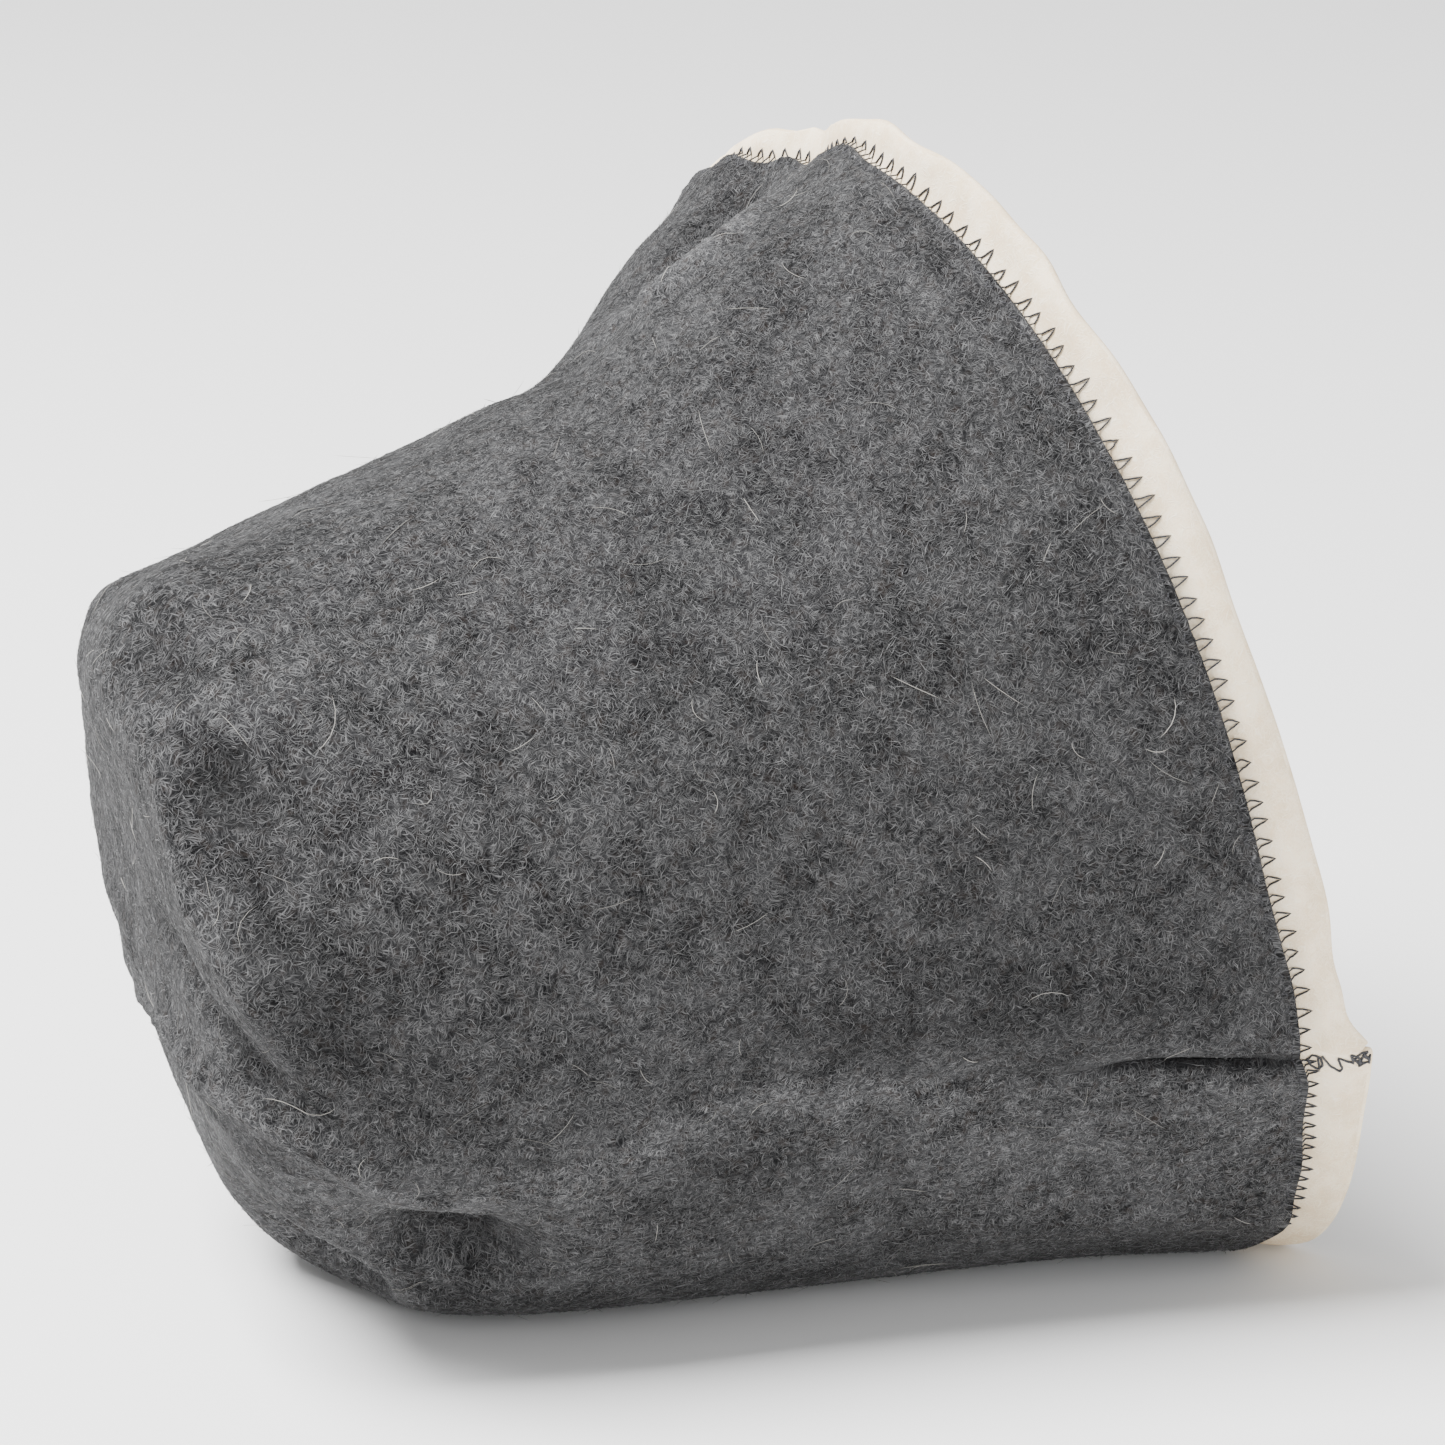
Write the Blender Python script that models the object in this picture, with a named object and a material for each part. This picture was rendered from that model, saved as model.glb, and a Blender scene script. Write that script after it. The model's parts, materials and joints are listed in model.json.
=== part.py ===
"""A felt sauna hat lying on its side, in metres, +Z up.

The hat is a bell of two grey felt panels, front and back, sewn along two side seams that run
from the rim over the crown. A cream felt strip is sewn under each panel's lower edge.
The crown points along -X, the rim opens along +X, the viewer is on the -Y side, and the hat
rests on Z = 0, where its soft wall is pressed flat.

Every point of the felt is placed by two measures: along, which is 0 at the grey felt's lower
edge and 1 at the middle of the crown, and around, in degrees, which is 0 towards the viewer
and 90 on top.
"""
from collections import namedtuple

import bmesh
import bpy
import numpy as np

MM = 0.001

# Driving sizes
FELT = 3.0 * MM
TRIM_FELT = 2.5 * MM
CLEARANCE = 0.3 * MM
TRIM_HIDDEN = 8.0 * MM
TRIM_SHOWN = 13.5 * MM
TRIM_EASE = 9.0 * MM
SEAM_TURNED_IN = 9.0 * MM
KEEL_WIDTH = 16.0 * MM
FLOOR_BEND = 7.0 * MM
RIM_RUN = 250.0 * MM

# Where the near side seam lies, around the hat; the far one is opposite
SEAM_AROUND = -38.0

# The bell at its rings, in millimetres and degrees: the ring's centre, how its top leans to
# the crown and its near side turns to the crown, how far the felt is turned round the ring,
# its half sizes up, down, near and far, and how far the near and the far seam stand out
Ring = namedtuple("Ring", "name along x y z lean turn twist up down near far keel_near keel_far")
RINGS = (
    Ring("trim edge", -0.055, 74, 3, 120, 17.5, -7, 17, 127, 168, 106, 140, 6, 6),
    Ring("felt edge", 0, 63, 3, 118, 15.5, -7, 17, 121, 162, 105, 137, 6, 6),
    Ring("flare", 0.17, 31, 3, 108, 16.5, -3, 18, 112, 142, 97, 119, 4, 6),
    Ring("break", 0.34, -3, 2, 97, 17, 4, 20, 101, 125, 90, 94, 4, 3),
    Ring("crown wall", 0.52, -58, 0, 88, 18, 6, 18, 89, 110, 83, 84, 3, 2),
    Ring("shoulder", 0.67, -103, 0, 79, 18, 6, 16, 81, 91, 75, 73, 2, 2),
    Ring("crown bend", 0.74, -118, 0, 76, 16, 5, 17, 70, 77, 64, 60, 2, 2),
    Ring("crown top", 0.86, -126, -2, 76, 12, 3, 20, 43, 49, 39, 38, 4, 4),
    Ring("crown middle", 1, -127, -2, 77, 12, 3, 20, 0, 0, 0, 0, 4, 4),
)

# Folds and dents, from one place to another: width is to where it has faded to a third,
# and height is out of the hat, or into it where it is negative
Fold = namedtuple("Fold", "name along_1 around_1 along_2 around_2 width height")
FOLDS = (
    Fold("top lobe", 0.22, 66, -0.06, 64, 20, 3),
    Fold("top valley", 0.30, 86, -0.06, 90, 14, -10),
    Fold("break crease", 0.34, 100, 0.34, -60, 9, -1.5),
    Fold("crown ridge", 0.68, 60, 0.69, 5, 22, 7),
    Fold("crown hollow", 0.78, 50, 0.74, -18, 13, -2),
    Fold("seam corner dent", 0.64, -52, 0.68, -48, 17, -7),
    Fold("wall dent", 0.64, 28, 0.60, 20, 14, -3),
    Fold("top dent", 0.63, 58, 0.60, 50, 12, -2),
)

# The cut edge's waves: back is towards the crown, in millimetres
Wave = namedtuple("Wave", "name around spread back")
WAVES = (
    Wave("near seam tip", -38, 9, -3),
    Wave("under the near side", -76, 15, 10),
    Wave("far seam tip", 142, 9, -3),
)

# The grid of each panel, and of each trim strip
COLUMNS = 40
SEAM_COLUMNS = 8
WALL_ROWS = 20
CROWN_START = 0.66
NARROWING = 0.5
HIDDEN_ROWS = 2
SHOWN_ROWS = 4

# The seam allowance starts past the hidden edge of the trim
ALLOWANCE_START = 0.05
ALLOWANCE_FULL = 0.09
BESIDE_SEAM = 0.02
SHARP_ANGLE = 50

# How far apart the surface is read for its slope, in the open and at a seam, and how many
# places a fold's path is read at
SLOPE_STEP = 0.004
SEAM_SLOPE_STEP = 0.012
FOLD_PLACES = 7

FELT_GREY = (0.125, 0.125, 0.130)
TRIM_CREAM = (0.68, 0.64, 0.57)
FELT_ROUGHNESS = 0.95


def spline(places, values):
    """Return a smooth curve, a natural cubic spline, through a table's column."""
    places = np.array(places, float)
    values = np.array(values, float)
    gaps = np.diff(places)
    rises = np.diff(values) / gaps
    system = np.eye(len(places))
    pull = np.zeros(len(places))
    for row in range(1, len(places) - 1):
        system[row, row - 1:row + 2] = gaps[row - 1], 2 * (gaps[row - 1] + gaps[row]), gaps[row]
        pull[row] = 6 * (rises[row] - rises[row - 1])
    bends = np.linalg.solve(system, pull)

    def read(place):
        span = np.clip(np.searchsorted(places, place) - 1, 0, len(gaps) - 1)
        before = place - places[span]
        after = places[span + 1] - place
        gap = gaps[span]
        curved = (bends[span] * after ** 3 + bends[span + 1] * before ** 3) / (6 * gap)
        straight = (values[span] / gap - bends[span] * gap / 6) * after
        straight = straight + (values[span + 1] / gap - bends[span + 1] * gap / 6) * before
        return curved + straight

    return read


def ring_curves():
    """Return a curve for each column of the ring table, over the reach from the crown's middle.

    The table is mirrored past the crown's middle, with its half sizes turned negative, so the
    crown closes in a smooth dome.
    """
    rows = sorted(RINGS, key=lambda ring: -ring.along)
    reach = [1 - ring.along for ring in rows]
    places = [-place for place in reach[:0:-1]] + reach
    curves = {}
    for column in Ring._fields[2:]:
        values = [getattr(ring, column) for ring in rows]
        sign = -1 if column in ("up", "down", "near", "far") else 1
        unit = 1 if column in ("lean", "turn", "twist") else MM
        mirrored = [sign * value for value in values[:0:-1]] + values
        curves[column] = spline(places, np.array(mirrored) * unit)
    return curves


CURVES = ring_curves()


def disc_place(along, around):
    """Return the place of a felt point on a flat disc whose middle is the crown's middle."""
    angle = np.radians(around)
    reach = 1 - np.asarray(along, float)
    return np.stack([reach * np.cos(angle), reach * np.sin(angle)], axis=-1)


def pressed(height):
    """Return heights pressed flat at the floor, with a soft bend into the flat part."""
    bend = (height + FLOOR_BEND) ** 2 / (4 * FLOOR_BEND)
    return np.where(height > FLOOR_BEND, height, np.where(height > -FLOOR_BEND, bend, 0.0))


def bell(place):
    """Return the points of the bell, without its folds, seams and flat resting face."""
    reach = np.maximum(np.hypot(place[..., 0], place[..., 1]), 1e-9)
    size = {name: curve(reach) for name, curve in CURVES.items()}
    twist = np.radians(size["twist"])
    side = (place[..., 0] * np.cos(twist) - place[..., 1] * np.sin(twist)) / reach
    top = (place[..., 1] * np.cos(twist) + place[..., 0] * np.sin(twist)) / reach
    height = top * np.where(top > 0, size["up"], size["down"])
    depth = side * np.where(side > 0, size["near"], size["far"])
    lean = np.radians(size["lean"])
    turn = np.radians(size["turn"])
    z = pressed(size["z"] + height * np.cos(lean))
    x = size["x"] - (z - size["z"]) * np.tan(lean) - depth * np.sin(turn)
    y = size["y"] - depth * np.cos(turn)
    return np.stack([x, y, z], axis=-1)


def normals(surface, place):
    """Return the outward directions of a surface at places on the disc."""
    across = surface(place + (SLOPE_STEP, 0)) - surface(place - (SLOPE_STEP, 0))
    up = surface(place + (0, SLOPE_STEP)) - surface(place - (0, SLOPE_STEP))
    outward = np.cross(across, up)
    return outward / np.linalg.norm(outward, axis=-1, keepdims=True)


def distance_to_path(points, path):
    """Return how far points are from a path of straight pieces."""
    nearest = np.full(points.shape[:-1], np.inf)
    for start, end in zip(path[:-1], path[1:]):
        run = end - start
        share = np.clip(((points - start) @ run) / (run @ run), 0, 1)
        gap = points - start - share[..., None] * run
        nearest = np.minimum(nearest, np.linalg.norm(gap, axis=-1))
    return nearest


def seam_across(place):
    """Return the distance across the felt from the nearer seam, and which seam that is."""
    reach = np.maximum(np.hypot(place[..., 0], place[..., 1]), 1e-9)
    seam = np.radians(SEAM_AROUND)
    across = (place[..., 1] * np.cos(seam) - place[..., 0] * np.sin(seam)) / reach
    towards_near = (place[..., 0] * np.cos(seam) + place[..., 1] * np.sin(seam)) / reach
    girth = (CURVES["up"](reach) + CURVES["near"](reach)) / 2
    return np.abs(across) * girth, towards_near


def sewn_bell(place):
    """Return the bell's points with its folds and seams, pressed flat where it rests."""
    place = np.asarray(place, float)
    points = bell(place)
    height = np.zeros(points.shape[:-1])
    for fold in FOLDS:
        steps = np.linspace(0, 1, FOLD_PLACES)
        path = bell(disc_place(fold.along_1 + steps * (fold.along_2 - fold.along_1),
                               fold.around_1 + steps * (fold.around_2 - fold.around_1)))
        far = distance_to_path(points, path) / (fold.width * MM)
        height += fold.height * MM * np.exp(-far ** 2)
    reach = np.hypot(place[..., 0], place[..., 1])
    across, towards_near = seam_across(place)
    near_share = np.clip(0.5 + 0.5 * towards_near, 0, 1)
    keel = near_share * CURVES["keel_near"](reach) + (1 - near_share) * CURVES["keel_far"](reach)
    height += keel * np.exp(-across / KEEL_WIDTH)
    height *= eased(points[..., 2] / (2 * FLOOR_BEND))
    points = points + height[..., None] * normals(bell, place)
    points[..., 2] = np.maximum(points[..., 2], 0)
    return points


def eased(share):
    """Return a share that leaves 0 and reaches 1 without a corner."""
    share = np.clip(share, 0, 1)
    return share * share * (3 - 2 * share)


def edge_along(around):
    """Return where the grey felt is cut, which waves a little round the rim."""
    back = np.zeros(np.shape(around))
    for wave in WAVES:
        off = (np.asarray(around) - wave.around + 180) % 360 - 180
        back = back + wave.back * MM * np.exp(-(off / wave.spread) ** 2)
    return back / RIM_RUN


def columns_around(start):
    """Return the columns of a panel, closer together towards its two seams."""
    share = np.linspace(0, 1, COLUMNS + 1)
    waved = (1 - np.cos(np.pi * share)) / 2
    return start + 180 * ((1 - NARROWING) * share + NARROWING * waved)


def into_panel(start):
    """Return the direction on the disc that leads from a panel's seams into it."""
    angle = np.radians(start + 90)
    return np.array([np.cos(angle), np.sin(angle)])


def seam_frame(place, start):
    """Return three directions at places on a seam: out of the hat, into the panel, and the
    stretch by which a depth square to the panel grows when it is measured straight inward.
    """
    into = into_panel(start)
    run = np.array([into[1], -into[0]])
    step_in = into * SEAM_SLOPE_STEP
    step_along = run * SEAM_SLOPE_STEP
    own = normals(sewn_bell, place + step_in)
    other = normals(sewn_bell, place - step_in)
    outward = own + other
    outward = outward / np.linalg.norm(outward, axis=-1, keepdims=True)
    tangent = sewn_bell(place + step_along) - sewn_bell(place - step_along)
    inward = np.cross(tangent, outward)
    inward = inward / np.linalg.norm(inward, axis=-1, keepdims=True)
    side = np.sum(inward * (sewn_bell(place + step_in) - sewn_bell(place)), axis=-1)
    inward = inward * np.sign(side)[..., None]
    stretch = 1 / np.sum(own * outward, axis=-1)
    return outward, inward, stretch


def panel_places(start):
    """Return a panel's places on the disc, the quads between them and its sewn border.

    The wall is a plain grid. The half crown above it is a grid too, whose sides are the
    wall's outer columns, so no faces crowd together at the crown's middle.
    """
    around = columns_around(start)
    cut = edge_along(around)
    share = np.linspace(0, 1, WALL_ROWS + 1)[:, None]
    wall = disc_place(cut[None, :] + share * (CROWN_START - cut[None, :]), around[None, :])
    rows = SEAM_COLUMNS
    wide = COLUMNS - 2 * rows
    number = {}
    places = []

    def add(key, place):
        number[key] = len(places)
        places.append(place)

    def crown_key(column, row):
        if row == 0:
            return "wall", WALL_ROWS, rows + column
        if column == 0:
            return "wall", WALL_ROWS, rows - row
        if column == wide:
            return "wall", WALL_ROWS, COLUMNS - rows + row
        return "crown", row, column

    for row in range(WALL_ROWS + 1):
        for column in range(COLUMNS + 1):
            add(("wall", row, column), wall[row, column])

    arc = wall[WALL_ROWS]
    left = arc[rows::-1]
    right = arc[COLUMNS - rows:]
    bottom = arc[rows:COLUMNS - rows + 1]
    seam = arc[0] + np.linspace(0, 1, wide + 1)[:, None] * (arc[COLUMNS] - arc[0])
    for row in range(1, rows + 1):
        for column in range(1, wide):
            s = column / wide
            t = row / rows
            place = (1 - t) * bottom[column] + t * seam[column]
            place = place + (1 - s) * left[row] + s * right[row]
            place = place - (1 - t) * ((1 - s) * bottom[0] + s * bottom[wide])
            place = place - t * ((1 - s) * seam[0] + s * seam[wide])
            add(crown_key(column, row), place)

    quads = []
    for row in range(WALL_ROWS):
        for column in range(COLUMNS):
            corners = ((row, column), (row, column + 1), (row + 1, column + 1), (row + 1, column))
            quads.append([number["wall", *corner] for corner in corners])
    for row in range(rows):
        for column in range(wide):
            corners = ((column, row), (column + 1, row), (column + 1, row + 1), (column, row + 1))
            quads.append([number[crown_key(*corner)] for corner in corners])

    border = [number["wall", row, 0] for row in range(WALL_ROWS + 1)]
    border += [number[crown_key(column, rows)] for column in range(1, wide)]
    border += [number["wall", row, COLUMNS] for row in range(WALL_ROWS, -1, -1)]
    rim = [number["wall", 0, column] for column in range(COLUMNS + 1)]
    return np.array(places), quads, border, rim


def make_piece(name, points, faces, material):
    """Make one closed felt piece from its points and faces."""
    mesh = bpy.data.meshes.new(name)
    mesh.from_pydata([tuple(point) for point in points], [], faces)
    shaper = bmesh.new()
    shaper.from_mesh(mesh)
    bmesh.ops.recalc_face_normals(shaper, faces=shaper.faces)
    shaper.to_mesh(mesh)
    shaper.free()
    mesh.shade_smooth()
    mesh.set_sharp_from_angle(angle=np.radians(SHARP_ANGLE))
    mesh.materials.append(material)
    piece = bpy.data.objects.new(name, mesh)
    bpy.context.collection.objects.link(piece)
    return piece


def felt_panel(name, start, material):
    """Make half of the hat: its wall and half its crown, with the seam allowance turned in."""
    places, quads, border, rim = panel_places(start)
    outer = sewn_bell(places)
    inner = outer - FELT * normals(sewn_bell, places)
    outward, inward, stretch = seam_frame(places[border], start)
    outer[border] = outer[border] + inward * CLEARANCE / 2

    along = 1 - np.hypot(*places[border].T)
    turned = eased((along - ALLOWANCE_START) / (ALLOWANCE_FULL - ALLOWANCE_START))[:, None]
    depth = FELT * stretch[:, None]
    depth = depth + turned * (SEAM_TURNED_IN - depth)
    tip = outer[border] - depth * outward
    beside = places[border] + BESIDE_SEAM * into_panel(start)
    plain_back = sewn_bell(beside) - FELT * normals(sewn_bell, beside)
    inner[border] = (1 - turned) * plain_back + turned * (tip + FELT * inward)

    count = len(places)
    points = np.concatenate([outer, inner, tip])
    tips = {place: 2 * count + order for order, place in enumerate(border)}
    faces = [list(quad) for quad in quads]
    faces += [[corner + count for corner in reversed(quad)] for quad in quads]
    from_near = places @ into_panel(SEAM_AROUND - 90)
    for first, second in zip(border[:-1], border[1:]):
        nearer, farther = sorted((first, second), key=lambda place: -from_near[place])
        faces.append([nearer, farther, tips[farther]])
        faces.append([nearer, tips[farther], tips[nearer]])
        faces.append([tips[second], tips[first], first + count, second + count])
    for first, second in zip(rim[:-1], rim[1:]):
        faces.append([first, second, second + count, first + count])
    for end in (rim[0], rim[-1]):
        faces.append([end, end + count, tips[end]])
    return make_piece(name, points, faces, material)


def trim_strip(name, start, material):
    """Make a cream strip that lies under a panel's cut edge and shows past it."""
    around = columns_around(start)
    cut = edge_along(around)
    hidden = np.linspace(TRIM_HIDDEN, 0, HIDDEN_ROWS + 1)
    shown = np.linspace(0, -TRIM_SHOWN, SHOWN_ROWS + 1)[1:]
    across = np.concatenate([hidden, shown])
    places = disc_place(cut[None, :] + across[:, None] / RIM_RUN, around[None, :])
    outward = normals(sewn_bell, places)
    surface = sewn_bell(places)
    stretch = np.ones(places.shape[:-1])
    for column in (0, COLUMNS):
        seam_out, inward, seam_stretch = seam_frame(places[:, column], start)
        outward[:, column] = seam_out
        stretch[:, column] = seam_stretch
        surface[:, column] += inward * CLEARANCE / 2
    under = (FELT + CLEARANCE) * (1 - eased(-across / TRIM_EASE))
    outer = surface - (under[:, None] * stretch)[..., None] * outward
    inner = surface - ((under + TRIM_FELT)[:, None] * stretch)[..., None] * outward
    outer[..., 2] = np.maximum(outer[..., 2], 0)

    loop = np.concatenate([outer, inner[::-1]])
    rows, columns = loop.shape[:2]
    points = loop.reshape(-1, 3)
    faces = []
    for row in range(rows):
        for column in range(columns - 1):
            first = row * columns + column
            second = (row + 1) % rows * columns + column
            faces.append([first, first + 1, second + 1, second])
    for column in (0, columns - 1):
        for row in range(rows // 2 - 1):
            first = row * columns + column
            last = (rows - 1 - row) * columns + column
            faces.append([first, first + columns, last - columns])
            faces.append([first, last - columns, last])
    return make_piece(name, points, faces, material)


def felt_material(name, colour):
    """Return a plain matt felt."""
    material = bpy.data.materials.new(name)
    material.use_nodes = True
    shader = material.node_tree.nodes["Principled BSDF"]
    shader.inputs["Base Color"].default_value = (*colour, 1)
    shader.inputs["Roughness"].default_value = FELT_ROUGHNESS
    shader.inputs["Metallic"].default_value = 0
    return material


def build():
    """Build the hat's four pieces."""
    for old in list(bpy.data.objects):
        bpy.data.objects.remove(old)
    grey = felt_material("grey_felt", FELT_GREY)
    cream = felt_material("cream_felt", TRIM_CREAM)
    for side, start in (("front", SEAM_AROUND), ("back", SEAM_AROUND + 180)):
        felt_panel(side + "_panel", start, grey)
        trim_strip(side + "_trim", start, cream)


build()
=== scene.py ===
# %% [markdown]
# # A felt sauna hat, lying on its side
#
# The real hat is cut from grey wool felt, about 3 mm thick. Two panels, front and back, are
# sewn edge to edge, along the sides and over the crown. A cream felt strip lies under the
# lower edge, and a dark zigzag holds it there.
#
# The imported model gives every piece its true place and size. Its solids are plain, so this
# lesson copies each one, rounds it, shapes its soft folds, and gives it wool to wear.

import json
import math
from collections import namedtuple

import bmesh
import bpy
import numpy as np
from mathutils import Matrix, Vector, noise
from mathutils.bvhtree import BVHTree
from mathutils.kdtree import KDTree

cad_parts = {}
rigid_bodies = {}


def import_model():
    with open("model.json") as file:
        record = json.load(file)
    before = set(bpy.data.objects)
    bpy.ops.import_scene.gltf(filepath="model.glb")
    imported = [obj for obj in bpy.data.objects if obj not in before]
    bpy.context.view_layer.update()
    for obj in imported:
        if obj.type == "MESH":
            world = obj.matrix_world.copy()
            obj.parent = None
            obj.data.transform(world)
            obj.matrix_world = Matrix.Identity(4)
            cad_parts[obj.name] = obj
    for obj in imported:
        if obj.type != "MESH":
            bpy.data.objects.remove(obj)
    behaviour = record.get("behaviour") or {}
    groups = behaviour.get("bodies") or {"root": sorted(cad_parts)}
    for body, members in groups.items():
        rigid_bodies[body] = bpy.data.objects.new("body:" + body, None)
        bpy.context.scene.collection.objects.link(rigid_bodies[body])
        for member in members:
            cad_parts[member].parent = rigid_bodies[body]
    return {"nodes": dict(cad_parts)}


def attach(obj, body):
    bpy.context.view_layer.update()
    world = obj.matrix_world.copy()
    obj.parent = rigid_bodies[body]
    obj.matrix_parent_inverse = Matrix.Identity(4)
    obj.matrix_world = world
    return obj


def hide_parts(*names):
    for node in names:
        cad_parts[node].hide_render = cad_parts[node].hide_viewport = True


MM = 0.001
for old in list(bpy.data.objects):
    bpy.data.objects.remove(old)
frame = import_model()
bpy.context.view_layer.update()

# %% [markdown]
# ## The camera
#
# The photo looks at the hat from a little to the left of its side and from above. The camera
# stands where the photo's did, more than a metre away, with a long lens that keeps the shape
# from bulging towards us. The same numbers also turn a place in the photo into a ray, so
# that a dent or a hair that the photo shows can be put on the felt just there.

# %% Place the camera
PHOTO_SIZE = 1445
SENSOR_MM = 36
VIEW_WIDTH = 0.3104
CAMERA_DISTANCE = 1.262
LOOK_AT = Vector((0, 0, 0.114))
TURNED = math.radians(21)
RAISED = math.radians(18)

looking = Vector((
    math.sin(TURNED) * math.cos(RAISED),
    math.cos(TURNED) * math.cos(RAISED),
    -math.sin(RAISED),
))
camera_right = Vector((math.cos(TURNED), -math.sin(TURNED), 0))
camera_up = camera_right.cross(looking)
eye = LOOK_AT - looking * CAMERA_DISTANCE

bpy.ops.object.select_all(action="DESELECT")
bpy.ops.object.camera_add(location=eye, rotation=looking.to_track_quat("-Z", "Y").to_euler())
camera = bpy.context.object
camera.data.sensor_width = SENSOR_MM
camera.data.lens = SENSOR_MM * CAMERA_DISTANCE / VIEW_WIDTH
bpy.context.scene.camera = camera
print("lens", round(camera.data.lens, 1), "mm")


def photo_ray(x, y):
    """Return the direction from the camera through a place in the photo."""
    across = (x / PHOTO_SIZE - 0.5) * VIEW_WIDTH
    up = (0.5 - y / PHOTO_SIZE) * VIEW_WIDTH
    return (looking * CAMERA_DISTANCE + camera_right * across + camera_up * up).normalized()


# %% [markdown]
# ## From a plain solid to a felt panel
#
# Felt is cut with shears, so its edges are square at first and then soften. The solid from
# the model is a shell with sharp corners, made of loose triangles. By hand one would merge
# its points, pair the triangles into quads, bevel the sharp edges and subdivide. That is what
# happens here, and the bevel is kept narrow so the edge stays a cut edge and no roll.
#
# Each face is also told which side of the felt it is on, by spreading from one face to the
# next wherever there is no sharp corner between them.

# %% Copy a solid
MERGE = 0.01 * MM
PAIR_ANGLE = math.radians(60)


def choose(piece):
    """Select one piece alone and make it active."""
    bpy.ops.object.select_all(action="DESELECT")
    piece.select_set(True)
    bpy.context.view_layer.objects.active = piece


def copy_solid(node, name):
    """Copy a solid of the model, merge its triangles and pair them into quads."""
    piece = bpy.data.objects.new(name, frame["nodes"][node].data.copy())
    bpy.context.collection.objects.link(piece)
    choose(piece)
    piece.data.materials.clear()
    bpy.ops.mesh.customdata_custom_splitnormals_clear()
    bpy.ops.object.mode_set(mode="EDIT")
    bpy.ops.mesh.select_all(action="SELECT")
    bpy.ops.mesh.remove_doubles(threshold=MERGE)
    bpy.ops.mesh.tris_convert_to_quads(face_threshold=PAIR_ANGLE, shape_threshold=PAIR_ANGLE)
    bpy.ops.mesh.normals_make_consistent(inside=False)
    bpy.ops.object.mode_set(mode="OBJECT")
    return piece


# %% Find the two sides of the felt
CORNER = math.radians(48)


def spread_from(face):
    """Return a face and all that join it without a sharp corner between."""
    found = {face}
    waiting = [face]
    while waiting:
        for edge in waiting.pop().edges:
            if edge.calc_face_angle(0) < CORNER:
                for other in edge.link_faces:
                    if other not in found:
                        found.add(other)
                        waiting.append(other)
    return found


def find_sides(shape, start, direction):
    """Return the faces outside, where a ray first meets the felt, and the faces inside."""
    first = BVHTree.FromBMesh(shape).ray_cast(start, direction)[2]
    outside = spread_from(shape.faces[first])
    parts = []
    left = {face for face in shape.faces if face not in outside}
    while left:
        part = spread_from(next(iter(left)))
        parts.append(part)
        left -= part
    return outside, max(parts, key=lambda part: sum(face.calc_area() for face in part))


# %% Name the side of each face
FACES_RIM = 0.5
IN_SEAM, OUTSIDE, INSIDE, CUT_EDGE = range(4)


def name_sides(piece, start, direction):
    """Write each face's side and crease the corners along a seam.

    Return the outside's border where the cut edge runs and where the seam runs.
    """
    shape = bmesh.new()
    shape.from_mesh(piece.data)
    side = shape.faces.layers.int.new("side")
    crease = shape.edges.layers.float.new("crease_edge")
    shape.faces.ensure_lookup_table()
    outside, inside = find_sides(shape, start, direction)
    for face in shape.faces:
        if face in outside:
            face[side] = OUTSIDE
        elif face in inside:
            face[side] = INSIDE
        else:
            face[side] = CUT_EDGE if face.normal.x > FACES_RIM else IN_SEAM
    cut = []
    seam = []
    for edge in shape.edges:
        sides = [face[side] for face in edge.link_faces]
        if len(sides) != 2 or (OUTSIDE not in sides and INSIDE not in sides) or sides[0] == sides[1]:
            continue
        along_seam = IN_SEAM in sides
        if along_seam:
            edge[crease] = 1
        if OUTSIDE in sides:
            (seam if along_seam else cut).append([edge.verts[0].co.copy(), edge.verts[1].co.copy()])
    shape.to_mesh(piece.data)
    shape.free()
    print(piece.name, "cut edges", len(cut), "seam edges", len(seam))
    return cut, seam


# %% [markdown]
# ## Round the edges and lay the cloth flat
#
# A pattern of wool has to follow the cloth. So the sides are unwrapped like the pieces of a
# paper pattern, and the unwrapped map is scaled until one unit of it is one metre of felt.
# The flat size of the cut panel is read from the same map.

# %% Round the cut edges
EDGE_ROUND = 0.9 * MM
EDGE_STEPS = 2


def round_edges(piece):
    """Bevel the sharp corners of a felt piece, but not those along a seam."""
    shape = bmesh.new()
    shape.from_mesh(piece.data)
    side = shape.faces.layers.int["side"]
    crease = shape.edges.layers.float["crease_edge"]
    corners = []
    for edge in shape.edges:
        if [face[side] for face in edge.link_faces].count(CUT_EDGE) == 1 and edge[crease] == 0:
            corners.append(edge)
    rounded = bmesh.ops.bevel(
        shape, geom=corners, offset=EDGE_ROUND, segments=EDGE_STEPS, profile=0.5,
        affect="EDGES", clamp_overlap=True,
    )
    for face in rounded["faces"]:
        face[side] = CUT_EDGE
    shape.to_mesh(piece.data)
    shape.free()
    print(piece.name, "rounded", len(corners), "edges")


# %% Unwrap a piece
def unwrap(piece):
    """Unwrap a felt piece, each side of the felt by itself."""
    shape = bmesh.new()
    shape.from_mesh(piece.data)
    side = shape.faces.layers.int["side"]
    for edge in shape.edges:
        edge.seam = len({face[side] for face in edge.link_faces}) > 1
    shape.to_mesh(piece.data)
    shape.free()
    while piece.data.uv_layers:
        piece.data.uv_layers.remove(piece.data.uv_layers[0])
    piece.data.uv_layers.new(name="cloth")
    choose(piece)
    bpy.ops.object.mode_set(mode="EDIT")
    bpy.ops.mesh.select_all(action="SELECT")
    bpy.ops.uv.unwrap(method="ANGLE_BASED", margin=0.01)
    bpy.ops.object.mode_set(mode="OBJECT")


# %% Measure the flat cut
TURN_STEP = 5


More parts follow.
